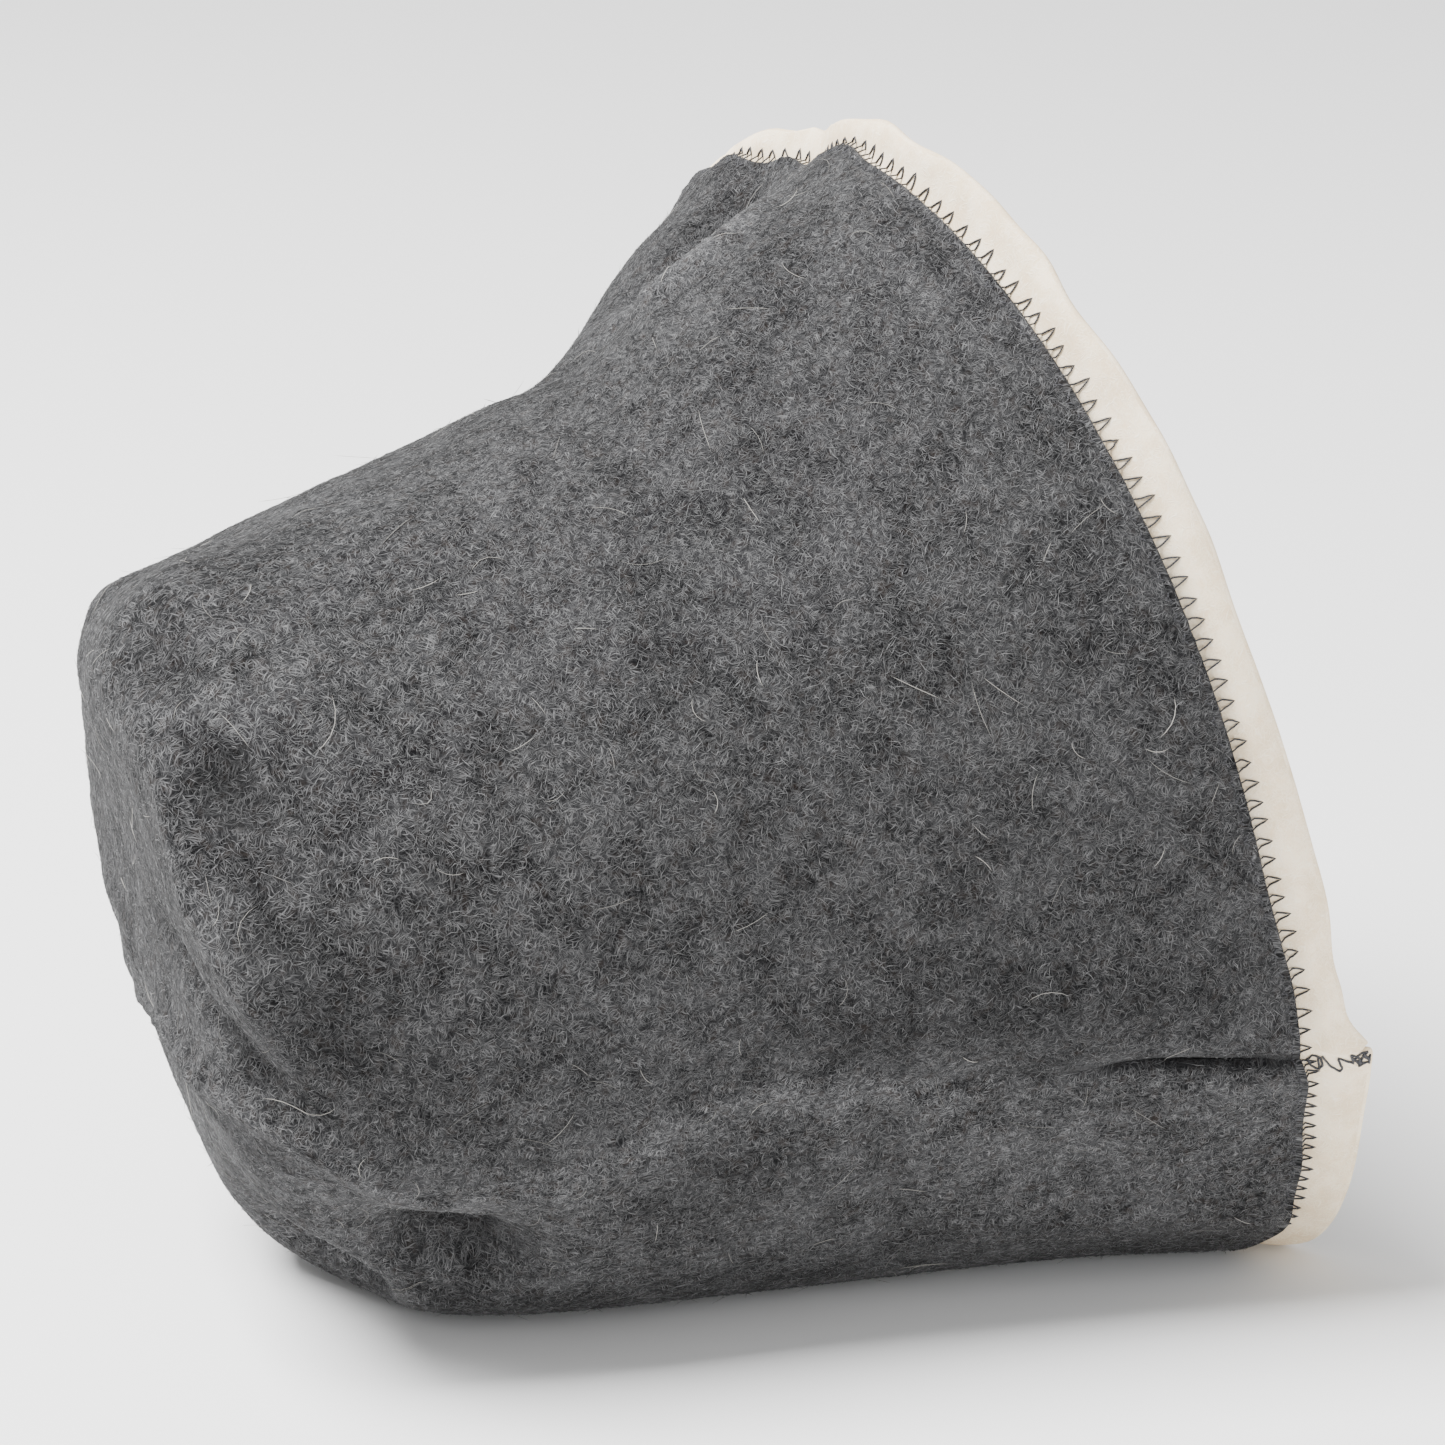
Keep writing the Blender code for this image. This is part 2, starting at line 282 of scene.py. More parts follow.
def box_of(spread):
    """Return the width and length of the smallest box that holds a flat spread of places."""
    best = None
    for degrees in range(0, 180, TURN_STEP):
        turn = math.radians(degrees)
        turned = spread @ np.array([[math.cos(turn), -math.sin(turn)], [math.sin(turn), math.cos(turn)]])
        size = turned.max(0) - turned.min(0)
        if best is None or size[0] * size[1] < best[0] * best[1]:
            best = size
    return best


def lay_flat(piece):
    """Scale an unwrapped map to metres; return the width, length and area of the flat cut."""
    mesh = piece.data
    uv = np.empty(len(mesh.loops) * 2, np.float32)
    mesh.uv_layers["cloth"].data.foreach_get("uv", uv)
    uv = uv.reshape(-1, 2)
    true_area = 0
    flat_area = 0
    outer = []
    for face in mesh.polygons:
        if mesh.attributes["side"].data[face.index].value != OUTSIDE:
            continue
        loops = list(face.loop_indices)
        outer += loops
        true_area += face.area
        corners = uv[loops]
        following = np.roll(corners, -1, axis=0)
        flat_area += abs(np.sum(corners[:, 0] * following[:, 1] - following[:, 0] * corners[:, 1])) / 2
    uv *= math.sqrt(true_area / flat_area)
    mesh.uv_layers["cloth"].data.foreach_set("uv", uv.ravel())
    width, length = (float(across) for across in box_of(uv[outer]))
    print(piece.name, "flat cut", round(width, 3), round(length, 3), "area", round(true_area, 4))
    return width, length, float(true_area)


# %% Subdivide a piece
SUBDIVISIONS = 2


def subdivide(piece):
    """Subdivide a piece smoothly and apply it."""
    choose(piece)
    bpy.ops.object.modifier_add(type="SUBSURF")
    smoother = piece.modifiers[-1]
    smoother.levels = SUBDIVISIONS
    smoother.render_levels = SUBDIVISIONS
    bpy.ops.object.modifier_apply(modifier=smoother.name)
    bpy.ops.object.shade_smooth()


# %% [markdown]
# ## The four felt pieces
#
# The hat is hollow and its sides differ only in place, so one pair of helpers makes all four
# pieces. The ray that finds a piece's outside comes from the camera for the front pieces,
# and from under the hat for the back ones, because the back panel is what it lies on.
#
# The real panels are sewn edge to edge and the wool closes over the seam. The solids leave a
# hair's breadth between them, so the points along a seam are met halfway before the cloth is
# subdivided.

# %% Make the felt pieces
Piece = namedtuple("Piece", "name node start direction")
UNDER = Vector((0, 0, -1))
UNDER_STRIP = Vector((0.106, 0, -1))
UPWARD = Vector((0, 0, 1))
PANEL_IN_PHOTO = (700, 700)
STRIP_IN_PHOTO = (1285, 850)
PIECES = (
    Piece("front_felt", "front_panel", eye, photo_ray(*PANEL_IN_PHOTO)),
    Piece("back_felt", "back_panel", UNDER, UPWARD),
    Piece("front_strip", "front_trim", eye, photo_ray(*STRIP_IN_PHOTO)),
    Piece("back_strip", "back_trim", UNDER_STRIP, UPWARD),
)
GREY_PIECES = ("front_felt", "back_felt")
CREAM_PIECES = ("front_strip", "back_strip")
felt = {}
cut_border = []
seam_border = []
for plan in PIECES:
    piece = copy_solid(plan.node, plan.name)
    cut, seam = name_sides(piece, plan.start, plan.direction)
    if plan.name.endswith("felt"):
        cut_border += cut
        seam_border += seam
    round_edges(piece)
    unwrap(piece)
    lay_flat(piece)
    felt[plan.name] = piece

# %% Sew the panels edge to edge
SEWN_WITHIN = 1.0 * MM


def seam_points(piece):
    """Return the numbers of a piece's points along its creased seam corners."""
    crease = piece.data.attributes["crease_edge"].data
    return {v for edge in piece.data.edges if crease[edge.index].value == 1 for v in edge.vertices}


def sew(first, second):
    """Meet two pieces halfway wherever their seam points face each other."""
    tree = KDTree(len(second.data.vertices))
    for v in seam_points(second):
        tree.insert(second.data.vertices[v].co, v)
    tree.balance()
    sewn = 0
    for v in seam_points(first):
        place, other, far = tree.find(first.data.vertices[v].co)
        if far < SEWN_WITHIN:
            middle = (first.data.vertices[v].co + place) / 2
            first.data.vertices[v].co = middle
            second.data.vertices[other].co = middle
            sewn += 1
    print(first.name, "sewn to", second.name, "at", sewn, "points")


sew(felt["front_felt"], felt["back_felt"])
sew(felt["front_strip"], felt["back_strip"])
for piece in felt.values():
    subdivide(piece)
    print(piece.name, len(piece.data.polygons) * 2, "triangles")

# %% [markdown]
# ## Soft folds and the sewn groove
#
# Felt never lies quite even: it keeps dents where it was folded, rises beside a seam and
# sinks into it, and its cut edge is pressed down by the stitches. Brushes in sculpt mode
# would do this by hand. Here each dent or crest is a row of a table, with its path as places
# in the photo and its size in millimetres, and every point near it is moved along the felt's
# own direction. It fades towards both ends of its path. Both sides of the felt and the strip
# under it move together.
#
# A crest gets a painted highlight and a dent gets painted shade, so a row also says how much paler
# the wool is painted there: 0.1 is a tenth paler.

# %% Read points and faces
NO_LENGTH = 1e-12


def lengths(vectors):
    """Return the length of each vector."""
    return np.linalg.norm(vectors, axis=-1)


def unit(vectors):
    """Return vectors with the same directions and a length of one."""
    return vectors / np.maximum(lengths(vectors), NO_LENGTH)[..., None]


def read_points(mesh):
    """Return a mesh's points as an array."""
    points = np.empty(len(mesh.vertices) * 3, np.float32)
    mesh.vertices.foreach_get("co", points)
    return points.reshape(-1, 3).astype(float)


def read_faces(mesh, wanted):
    """Return the point numbers of a mesh's faces on some sides of the felt."""
    side = np.empty(len(mesh.polygons), np.int32)
    mesh.attributes["side"].data.foreach_get("value", side)
    corners = np.empty(len(mesh.loops), np.int32)
    mesh.loops.foreach_get("vertex_index", corners)
    return corners.reshape(-1, 4)[np.isin(side, wanted)]


# %% Join pieces into one skin
Skin = namedtuple("Skin", "points normals faces tree near")
SAME_PLACE = 0.02 * MM


def read_skin(names, wanted=(OUTSIDE,)):
    """Return some sides of some felt pieces, with smooth normals that run on across the seams."""
    points = []
    faces = []
    for name in names:
        mesh = felt[name].data
        faces.append(read_faces(mesh, wanted) + sum(len(part) for part in points))
        points.append(read_points(mesh))
    points = np.concatenate(points)
    faces = np.concatenate(faces)
    a, b, c, d = (points[faces[:, corner]] for corner in range(4))
    facing = np.cross(c - a, d - b)
    used, place_of = np.unique(np.round(points / SAME_PLACE).astype(np.int64), axis=0, return_inverse=True)
    place_of = place_of.ravel()
    total = np.zeros((len(used), 3))
    for corner in range(4):
        np.add.at(total, place_of[faces[:, corner]], facing)
    normals = unit(total)[place_of]
    on_skin = np.unique(faces)
    near = KDTree(len(on_skin))
    for place in on_skin:
        near.insert(points[place], int(place))
    near.balance()
    tree = BVHTree.FromPolygons(points.tolist(), faces.tolist())
    return Skin(points, normals, faces, tree, near)


grey_skin = read_skin(GREY_PIECES)
print("outside faces of grey felt", len(grey_skin.faces))

# %% Dents and crests that the photo shows
Dent = namedtuple("Dent", "name width height paler path")
# The fourth number of each row is painted light and shade: crests are painted paler as highlights, dents and
# hollows darker as shade.
DENTS = (
    Dent("crest round the crown", 4.5, 2.6, 0.08,
        ((150, 690), (173, 829), (190, 907), (233, 976), (285, 1045), (320, 1071))),
    Dent("seam's crest on the crown", 4, 3.2, 0.25,
        ((112, 889), (147, 993), (199, 1071), (259, 1115), (337, 1158), (389, 1193), (441, 1206),
            (493, 1219))),
    Dent("hollow between the crests", 4.5, -3.6, -0.2, ((150, 900), (205, 1010), (260, 1075), (310, 1110))),
    Dent("hollow beside the crown", 11, -4.2, -0.25,
        ((225, 785), (259, 846), (290, 941), (350, 1045), (424, 1132))),
    Dent("dent below the seam corner", 10, -10.0, -0.5, ((400, 1240), (495, 1254))),
    Dent("dent at the crown's edge", 8, -6.5, -0.45, ((212, 768), (248, 812))),
    Dent("dent near the top of the crown", 8, -4.5, -0.3, ((140, 630), (165, 680))),
    Dent("small fold low on the crown", 4, -2.5, -0.2, ((405, 1290), (474, 1309))),
    Dent("kink under the seam", 5, -2.0, -0.2, ((890, 1070), (891, 1215))),
    Dent("valley along the seam", 12, -4.6, 0,
        ((1290, 1064), (1200, 1070), (1064, 1082), (884, 1091), (774, 1106), (716, 1115), (639, 1144),
            (586, 1168), (520, 1186))),
    Dent("rubbed crest along the seam", 4.5, 2.2, 0.6,
        ((500, 1212), (557, 1196), (627, 1159), (680, 1130), (735, 1106), (798, 1095), (891, 1098),
            (1000, 1106))),
    Dent("swell above the seam", 10, 2.6, -0.28,
        ((1280, 985), (1150, 1000), (1000, 1015), (850, 1035), (700, 1062))),
    Dent("roll of the lower flap", 11, 3.2, 0.06, ((1285, 1200), (1150, 1210), (1000, 1222), (900, 1230))),
    Dent("darker wool left of the kink", 14, 0, -0.32, ((660, 1195), (800, 1185))),
    Dent("crest to the top edge", 5.5, 3.0, 0.65,
        ((595, 340), (625, 318), (655, 296), (696, 265), (731, 236), (760, 210), (783, 187), (800, 170))),
    Dent("valley beside it", 9, -5.0, -0.05,
        ((612, 306), (645, 280), (680, 250), (714, 220), (742, 194), (765, 172))),
)

# %% Follow the dents on the felt
PATH_STEP = 12
FADE = 0.25


def dent_path(dent):
    """Return the places on the felt along a dent, the felt's directions and the dent's strength."""
    places = []
    directions = []
    for (x1, y1), (x2, y2) in zip(dent.path, dent.path[1:]):
        count = max(2, int(math.hypot(x2 - x1, y2 - y1) / PATH_STEP))
        for share in np.linspace(0, 1, count):
            ray = photo_ray(x1 + share * (x2 - x1), y1 + share * (y2 - y1))
            hit, direction, face, far = grey_skin.tree.ray_cast(eye, ray)
            if hit is not None:
                places.append(hit)
                directions.append(direction)
    share = (np.arange(len(places)) + 0.5) / len(places)
    strength = np.clip(np.minimum(share, 1 - share) / FADE, 0, 1)
    return np.array(places), np.array(directions), strength


dents_on_felt = [(dent, *dent_path(dent)) for dent in DENTS]
print("places along the dents", [len(found[1]) for found in dents_on_felt])


# %% Move and shade the felt by its dents
def fading(far, width):
    """Return 1 at no distance, falling smoothly to a third at the width."""
    return np.exp(-(far / width) ** 2)


def dent_weight(points, dent, places, strength):
    """Return how strongly each place along a dent acts on each point."""
    return fading(lengths(points[:, None] - places[None]), dent.width * MM) * strength


def dents_at(points):
    """Return how far the dents and crests move each point."""
    move = np.zeros_like(points)
    for dent, places, directions, strength in dents_on_felt:
        weight = dent_weight(points, dent, places, strength)
        move += dent.height * MM * weight.max(axis=1, keepdims=True) * unit(weight @ directions)
    return move


def painted_shading_at(points):
    """Return how much paler the wool is painted at each point: painted highlight on the crests, painted
    shade in the dents.
    """
    paler = np.zeros(len(points))
    for dent, places, directions, strength in dents_on_felt:
        paler += dent.paler * dent_weight(points, dent, places, strength).max(axis=1)
    return paler


# %% [markdown]
# The outline needs a few more pulls, as with the grab brush: a place on the outline, how far
# it goes in the photo, and how many millimetres wide the brush is. The strip's outer edge is
# pulled alone.

# %% Pulls on the outline
Grab = namedtuple("Grab", "pieces x y right down width")
GREY_GRABS = (
    (112, 598, -14, -5, 9), (86, 655, -7, -2, 9), (230, 525, 4, 12, 17), (545, 385, 16, -3, 9),
    (615, 285, 8, 5, 9), (735, 172, 0, -12, 9), (700, 182, -7, -9, 5), (788, 170, 0, -10, 7),
    (305, 1275, 62, -22, 12), (250, 1215, 16, -8, 10), (262, 1262, 24, -14, 10),
    (960, 1070, 0, 6, 12), (1070, 1055, 0, 22, 16), (1210, 1051, 0, 10, 14), (845, 132, 7, -9, 8),
    (95, 855, 9, 0, 8), (130, 965, -9, 0, 6), (285, 1262, 34, -22, 17), (1313, 1045, -7, 6, 9),
    (1288, 1160, 9, 0, 11), (1272, 1215, 13, 3, 9), (778, 165, 0, -7, 10),
)
CREAM_GRABS = (
    (690, 165, 25, -6, 7), (775, 136, 0, -6, 8), (884, 131, 6, -8, 10), (942, 170, 7, -7, 10),
    (986, 210, 9, -6, 10), (1030, 258, 11, -6, 10), (1115, 370, 8, -5, 14), (1157, 455, 9, -3, 13),
    (1198, 535, 7, -2, 12), (1352, 970, -12, 3, 10), (1352, 1015, -14, 4, 6),
    (1367, 1050, 3, -1, 3), (824, 140, 4, -6, 4), (812, 136, 0, -9, 5),
)
COMMON_GRABS = ((706, 188, -13, -16, 9), (1320, 1058, 0, 4, 12))
ALL_GRABS = (
    (GREY_PIECES, GREY_GRABS),
    (CREAM_PIECES, CREAM_GRABS),
    (GREY_PIECES + CREAM_PIECES, COMMON_GRABS),
)

# %% Find what each pull moves
PHOTO_STEP = VIEW_WIDTH / PHOTO_SIZE


def nearest_to_ray(places, x, y):
    """Return the place nearest to the camera's ray through a place in the photo."""
    ray = np.array(photo_ray(x, y))
    away = places - np.array(eye)
    return places[lengths(away - (away @ ray)[:, None] * ray).argmin()]


def grab_place(grab):
    """Return the point of the grabbed pieces that lies nearest to the grab's place in the photo."""
    skin = np.concatenate([read_points(felt[name].data) for name in grab.pieces])
    return nearest_to_ray(skin, grab.x, grab.y)


grabs = [Grab(pieces, *numbers) for pieces, table in ALL_GRABS for numbers in table]
grabbed = [(grab, grab_place(grab)) for grab in grabs]
print("pulls on the outline", len(grabbed))


def grabs_at(points, name):
    """Return how far the grabs move each point of a piece."""
    move = np.zeros_like(points)
    for grab, place in grabbed:
        if name in grab.pieces:
            pull = (camera_right * grab.right - camera_up * grab.down) * PHOTO_STEP
            weight = fading(lengths(points - place), grab.width * MM)
            move += weight[:, None] * np.array(pull)
    return move


# %% [markdown]
# The felt is also a little lumpy. Beside a seam it puffs up, and at the seam it sinks into a
# groove, which is deep near the rim and shallow further in. The deep stretch is darker, for
# the light hardly reaches its bottom.

# %% Measure lumps and distances
BORDER_STEP = 0.5 * MM
SEED_SHIFT = (7.3, 3.1, 5.7)


def border_tree(segments):
    """Return a tree of places spread along border segments."""
    places = []
    for first, last in segments:
        count = max(1, int((last - first).length / BORDER_STEP))
        places += [first.lerp(last, share / count) for share in range(count + 1)]
    tree = KDTree(len(places))
    for order, place in enumerate(places):
        tree.insert(place, order)
    tree.balance()
    return tree


seam_tree = border_tree(seam_border)
cut_tree = border_tree(cut_border)


def far_from(tree, points):
    """Return each point's distance from a border."""
    return np.array([tree.find(point)[2] for point in points])


def uneven(points, size, seed):
    """Return a smooth unevenness between -1 and 1, with lumps of about a size."""
    shift = Vector([seed * part for part in SEED_SHIFT])
    return np.array([noise.noise(Vector(point) / size + shift) for point in points])


def smooth_step(values, low, high):
    """Return 0 below low, 1 above high, and a smooth rise between."""
    share = np.clip((values - low) / (high - low), 0, 1)
    return share * share * (3 - 2 * share)


# %% Sink the seam's groove
PAINTED_SHADE_WIDTH = 2.1 * MM
GROOVE_SHALLOW = 0.6 * MM
GROOVE_DEEP = 4.0 * MM
GROOVE_FROM = 0.022
GROOVE_TO = 0.07
GROOVE_LUMP = 9 * MM
GROOVE_UNEVEN = 0.4
GROOVE_SEED = 4
CROWN_FROM = -0.075
CROWN_FADE = 20 * MM


def groove_depth(points):
    """Return how deep the seam's groove is at each point: deep by the rim, and none on the crown."""
    depth = GROOVE_SHALLOW + (GROOVE_DEEP - GROOVE_SHALLOW) * smooth_step(
        points[:, 0], GROOVE_FROM, GROOVE_TO
    )
    on_wall = smooth_step(points[:, 0], CROWN_FROM, CROWN_FROM + CROWN_FADE)
    return depth * (on_wall * (1 + GROOVE_UNEVEN * uneven(points, GROOVE_LUMP, GROOVE_SEED)))


def painted_groove_shade(points):
    """Return the share of painted shade at each point, from 0 to 1: how deep in the seam's groove it lies.
    """
    deep = smooth_step(points[:, 0], GROOVE_FROM, GROOVE_TO)
    return deep * fading(far_from(seam_tree, points), PAINTED_SHADE_WIDTH)


# %% Move the felt softly
LUMPS = ((30, 0.9), (9, 0.3))
FLAT_HEIGHT = 12 * MM
GROOVE_WIDTH = 1.7 * MM
COVERED_WITHIN = 4 * MM
BARE_BEYOND = 8 * MM
UNDER_GREY = 0.8
BEYOND_GREY = 0.3
PUFF_AWAY = 6 * MM
PUFF_WIDTH = 3 * MM
PUFF_HEIGHT = 0.5 * MM
TOP_SIDE = 1.5 * MM
EDGE_PRESS_WIDTH = 2.6 * MM
EDGE_PRESS = 0.7 * MM


def moved_softly(points, name):
    """Return a felt piece's points after all the soft moves."""
    outward = np.array([grey_skin.normals[grey_skin.near.find(point)[1]] for point in points])
    from_grey = np.array([grey_skin.tree.find_nearest(point)[3] for point in points])
    seam_far = far_from(seam_tree, points)
    lift = np.zeros(len(points))
    for order, (size, height) in enumerate(LUMPS):
        lift += height * MM * uneven(points, size * MM, order + 1)
    lift += PUFF_HEIGHT * fading(seam_far - PUFF_AWAY, PUFF_WIDTH)
    share = 1.0
    if name in CREAM_PIECES:
        bare = smooth_step(from_grey, COVERED_WITHIN, BARE_BEYOND)
        share = UNDER_GREY + (BEYOND_GREY - UNDER_GREY) * bare
    lift -= share * groove_depth(points) * np.exp(-seam_far / GROOVE_WIDTH)
    if name in GREY_PIECES:
        near_top = np.clip(1 - from_grey / TOP_SIDE, 0, 1)
        lift -= EDGE_PRESS * near_top * fading(far_from(cut_tree, points), EDGE_PRESS_WIDTH)
    held = np.clip(points[:, 2] / FLAT_HEIGHT, 0, 1)
    points = (
        points
        + (held * lift)[:, None] * outward
        + held[:, None] * dents_at(points)
        + grabs_at(points, name)
    )
    points[:, 2] = np.maximum(points[:, 2], 0)
    return points


# %% Shade and move every piece
def moved_border(segments):
    """Return a border's segments after the soft moves, as pairs of places."""
    places = np.array([place for pair in segments for place in pair])
    return moved_softly(places, "front_felt").reshape(-1, 2, 3)


# Two painted numbers go on the grey felt: shade in the groove, and light and shade along the dents and
# crests.
for name in GREY_PIECES:
    mesh = felt[name].data
    points = read_points(mesh)
    for title, values in (("groove", painted_groove_shade(points)), ("paler", painted_shading_at(points))):
        mesh.attributes.new(title, "FLOAT", "POINT").data.foreach_set("value", values.astype(np.float32))
soft = {name: moved_softly(read_points(piece.data), name) for name, piece in felt.items()}
cut_border = moved_border(cut_border)
seam_border = moved_border(seam_border)
seam_tree = border_tree([(Vector(first), Vector(last)) for first, last in seam_border])
for name, piece in felt.items():
    most = lengths(soft[name] - read_points(piece.data)).max()
    piece.data.vertices.foreach_set("co", soft[name].astype(np.float32).ravel())
    piece.data.update()
    choose(piece)
    bpy.ops.object.shade_smooth_by_angle(angle=CORNER)
    print(name, "moved at most", round(float(most) / MM, 1), "mm")
grey_skin = read_skin(GREY_PIECES)
cream_skin = read_skin(CREAM_PIECES)

# %% [markdown]
# ## Wool, as a shader
#
# Felt is a mat of crimped wool. Close up it shows short, pale, curly hairs on a darker
# ground, in clumps of slightly different grey. A Voronoi texture puts one dot in every cell.
# Drawn out long and thin, each dot becomes a pointed stroke, with its own random paleness, and
# a slow noise bends the strokes. Several such layers, turned and of several sizes, cross each
# other as hairs do. The grey felt and the cream strip differ only in their values, so the
# layers are one node group.

# %% Helpers for nodes
def feed(tree, socket, value):
    """Link an input to a socket, or set it to a number, some numbers or a colour."""
    if isinstance(value, bpy.types.NodeSocket):
        tree.links.new(value, socket)
    elif socket.type == "RGBA":
        socket.default_value = (*value, 1)
    else:
        socket.default_value = value


def add_node(tree, kind, **settings):
    """Add a node and set its properties; input_0 or input_Scale feeds that input."""
    node = tree.nodes.new(kind)
    for name, value in settings.items():
        if name.startswith("input_"):
            key = name.removeprefix("input_")
            feed(tree, node.inputs[int(key) if key.isdigit() else key], value)
        else:
            setattr(node, name, value)
    return node


def math_node(tree, operation, first, second, clamp=False):
    """Add a math node and return its result."""
    return add_node(
        tree, "ShaderNodeMath", operation=operation, use_clamp=clamp, input_0=first, input_1=second
    ).outputs[0]


def vector_node(tree, operation, **inputs):
    """Add a vector math node and return its result."""
    return add_node(tree, "ShaderNodeVectorMath", operation=operation, **inputs).outputs[0]


def mix_colours(tree, share, first, second):
    """Mix two colours by a share."""
    return add_node(
        tree, "ShaderNodeMix", data_type="RGBA", input_Factor=share, input_A=first, input_B=second
    ).outputs["Result"]


# %% Noise, numbers and new materials
def cloth_noise(tree, cloth, scale, detail):
    """Add a noise on the flat cloth, by its lumps a millimetre and its detail; return its outputs."""
    return add_node(
        tree, "ShaderNodeTexNoise", noise_dimensions="2D",
        input_Vector=cloth, input_Scale=scale, input_Detail=detail,
    ).outputs


def number_on_mesh(tree, name):
    """Return a number that is stored on the mesh's points."""
    return add_node(tree, "ShaderNodeAttribute", attribute_name=name).outputs["Fac"]


def new_material(name, numbers):
    """Make a material with some of its inputs set; return it, its node tree and its inputs."""
    material = bpy.data.materials.new(name)
    material.use_nodes = True
    tree = material.node_tree
    inputs = tree.nodes["Principled BSDF"].inputs
    for title, value in numbers.items():
        feed(tree, inputs[title], value)
    return material, tree, inputs


# %% One layer of hairs
HAIR_TURNS = (8, 32, 58, 80, 101, 127, 149, 171)
HAIR_SIZES = (1.0, 0.75, 1.2, 0.9, 1.1, 0.7, 1.3, 0.85)
HAIR_SHIFT = (31.7, 17.3)
STROKE_CORE = 1.2
STROKE_FALL = 4.4
DARKEST_HAIR = 0.1


def hair_layer(tree, cloth, stretch, order):
    """Return a layer of pointed strokes, each with its own paleness."""
    turned = add_node(
        tree, "ShaderNodeVectorRotate", rotation_type="Z_AXIS",
        input_Vector=cloth, input_Angle=math.radians(HAIR_TURNS[order]),
    )
    scaled = vector_node(tree, "MULTIPLY", input_0=turned.outputs[0], input_1=stretch)
    shift = (order * HAIR_SHIFT[0], order * HAIR_SHIFT[1], 0)
    moved = vector_node(tree, "ADD", input_0=scaled, input_1=shift)
    cells = add_node(
        tree, "ShaderNodeTexVoronoi", voronoi_dimensions="2D", feature="F1",
        input_Vector=moved, input_Scale=1 / HAIR_SIZES[order],
    ).outputs
    channels = add_node(tree, "ShaderNodeSeparateColor", input_0=cells["Color"])
    falling = math_node(tree, "MULTIPLY", cells["Distance"], STROKE_FALL)
    line = math_node(tree, "SUBTRACT", STROKE_CORE, falling, clamp=True)
    chance = math_node(tree, "POWER", channels.outputs[0], 2.0)
    pale = math_node(tree, "ADD", math_node(tree, "MULTIPLY", chance, 1 - DARKEST_HAIR), DARKEST_HAIR)
    return math_node(tree, "MULTIPLY", line, pale)


# %% The hair layers as a node group
BEND_NOISE = (0.22, 1.5)
CLUMP_NOISE = (0.13, 4.0)
BROAD_NOISE = (0.04, 1.0)
BROAD_SHARE = 0.5
GRAIN_NOISE = (2.5, 1.0)
NOISE_MIDDLE = 0.5


def make_hair_group():
    """Make the group: a place on the cloth in; how much hair, how clumped and how grainy out."""
    tree = bpy.data.node_groups.new("wool hairs", "ShaderNodeTree")
    tree.interface.new_socket(name="Cloth", in_out="INPUT", socket_type="NodeSocketVector")
    for name, value in (("Length mm", 4.0), ("Width mm", 0.5), ("Bend mm", 5.0)):
        socket = tree.interface.new_socket(name=name, in_out="INPUT", socket_type="NodeSocketFloat")
        socket.default_value = value
    for name in ("Hair", "Clump", "Grain"):
        tree.interface.new_socket(name=name, in_out="OUTPUT", socket_type="NodeSocketFloat")
    inside = tree.nodes.new("NodeGroupInput").outputs
    outside = tree.nodes.new("NodeGroupOutput").inputs
    in_mm = vector_node(tree, "SCALE", input_0=inside["Cloth"], input_Scale=1 / MM)
    slow = cloth_noise(tree, in_mm, *BEND_NOISE)["Color"]
    centred = vector_node(tree, "SUBTRACT", input_0=slow, input_1=(NOISE_MIDDLE,) * 3)
    bend = vector_node(tree, "SCALE", input_0=centred, input_Scale=inside["Bend mm"])
    bent = vector_node(tree, "ADD", input_0=in_mm, input_1=bend)
    stretch = add_node(
        tree, "ShaderNodeCombineXYZ",
        input_0=math_node(tree, "DIVIDE", 1, inside["Length mm"]),
        input_1=math_node(tree, "DIVIDE", 1, inside["Width mm"]),
    ).outputs[0]
    total = hair_layer(tree, bent, stretch, 0)
    for order in range(1, len(HAIR_TURNS)):
        total = math_node(tree, "MAXIMUM", total, hair_layer(tree, bent, stretch, order))
    feed(tree, outside["Hair"], total)
    clumps = cloth_noise(tree, in_mm, *CLUMP_NOISE)["Fac"]
    broad = math_node(tree, "SUBTRACT", cloth_noise(tree, in_mm, *BROAD_NOISE)["Fac"], NOISE_MIDDLE)
    broad = math_node(tree, "MULTIPLY", broad, BROAD_SHARE)
    feed(tree, outside["Clump"], math_node(tree, "ADD", clumps, broad))
    feed(tree, outside["Grain"], cloth_noise(tree, in_mm, *GRAIN_NOISE)["Fac"])
    return tree


wool_hairs = make_hair_group()
print(wool_hairs.name, len(wool_hairs.nodes), "nodes")

# %% [markdown]
# ## The grey felt and the cream felt
#
# The grey is three greys: a dark ground, a mid grey for the clumps and a light grey for the
# hairs, with a little brown among them as in undyed wool. The hair also lifts the surface
# through a bump. Roughness stays high and a soft sheen gives the edge of the hat its pale rim.
# The back panel's felt is a paler copy of the same grey: painted light standing in for the light
# its flap under the seam gets from below. The cream felt is the same cloth, finer and closer,
# with little contrast.
# The numbers on the mesh paint shade into the groove, highlights onto the crests and shade into the dents.

# %% The wools
Wool = namedtuple("Wool", "name ground clump hair warm length width bend lift sheen")
BACK_PAINTED_LIGHT = 1.26
GREY = Wool(
    "grey felt", (0.002, 0.002, 0.0025), (0.016, 0.016, 0.017), (0.15, 0.15, 0.152), (0.020, 0.014, 0.011),
    length=3.6, width=0.4, bend=2.5, lift=0.2, sheen=0.03,
)
CREAM = Wool(
    "cream felt", (0.74, 0.59, 0.40), (0.90, 0.76, 0.56), (0.94, 0.84, 0.67), (0.82, 0.62, 0.39),
    length=4.5, width=0.6, bend=4, lift=0.08, sheen=0.02,
)

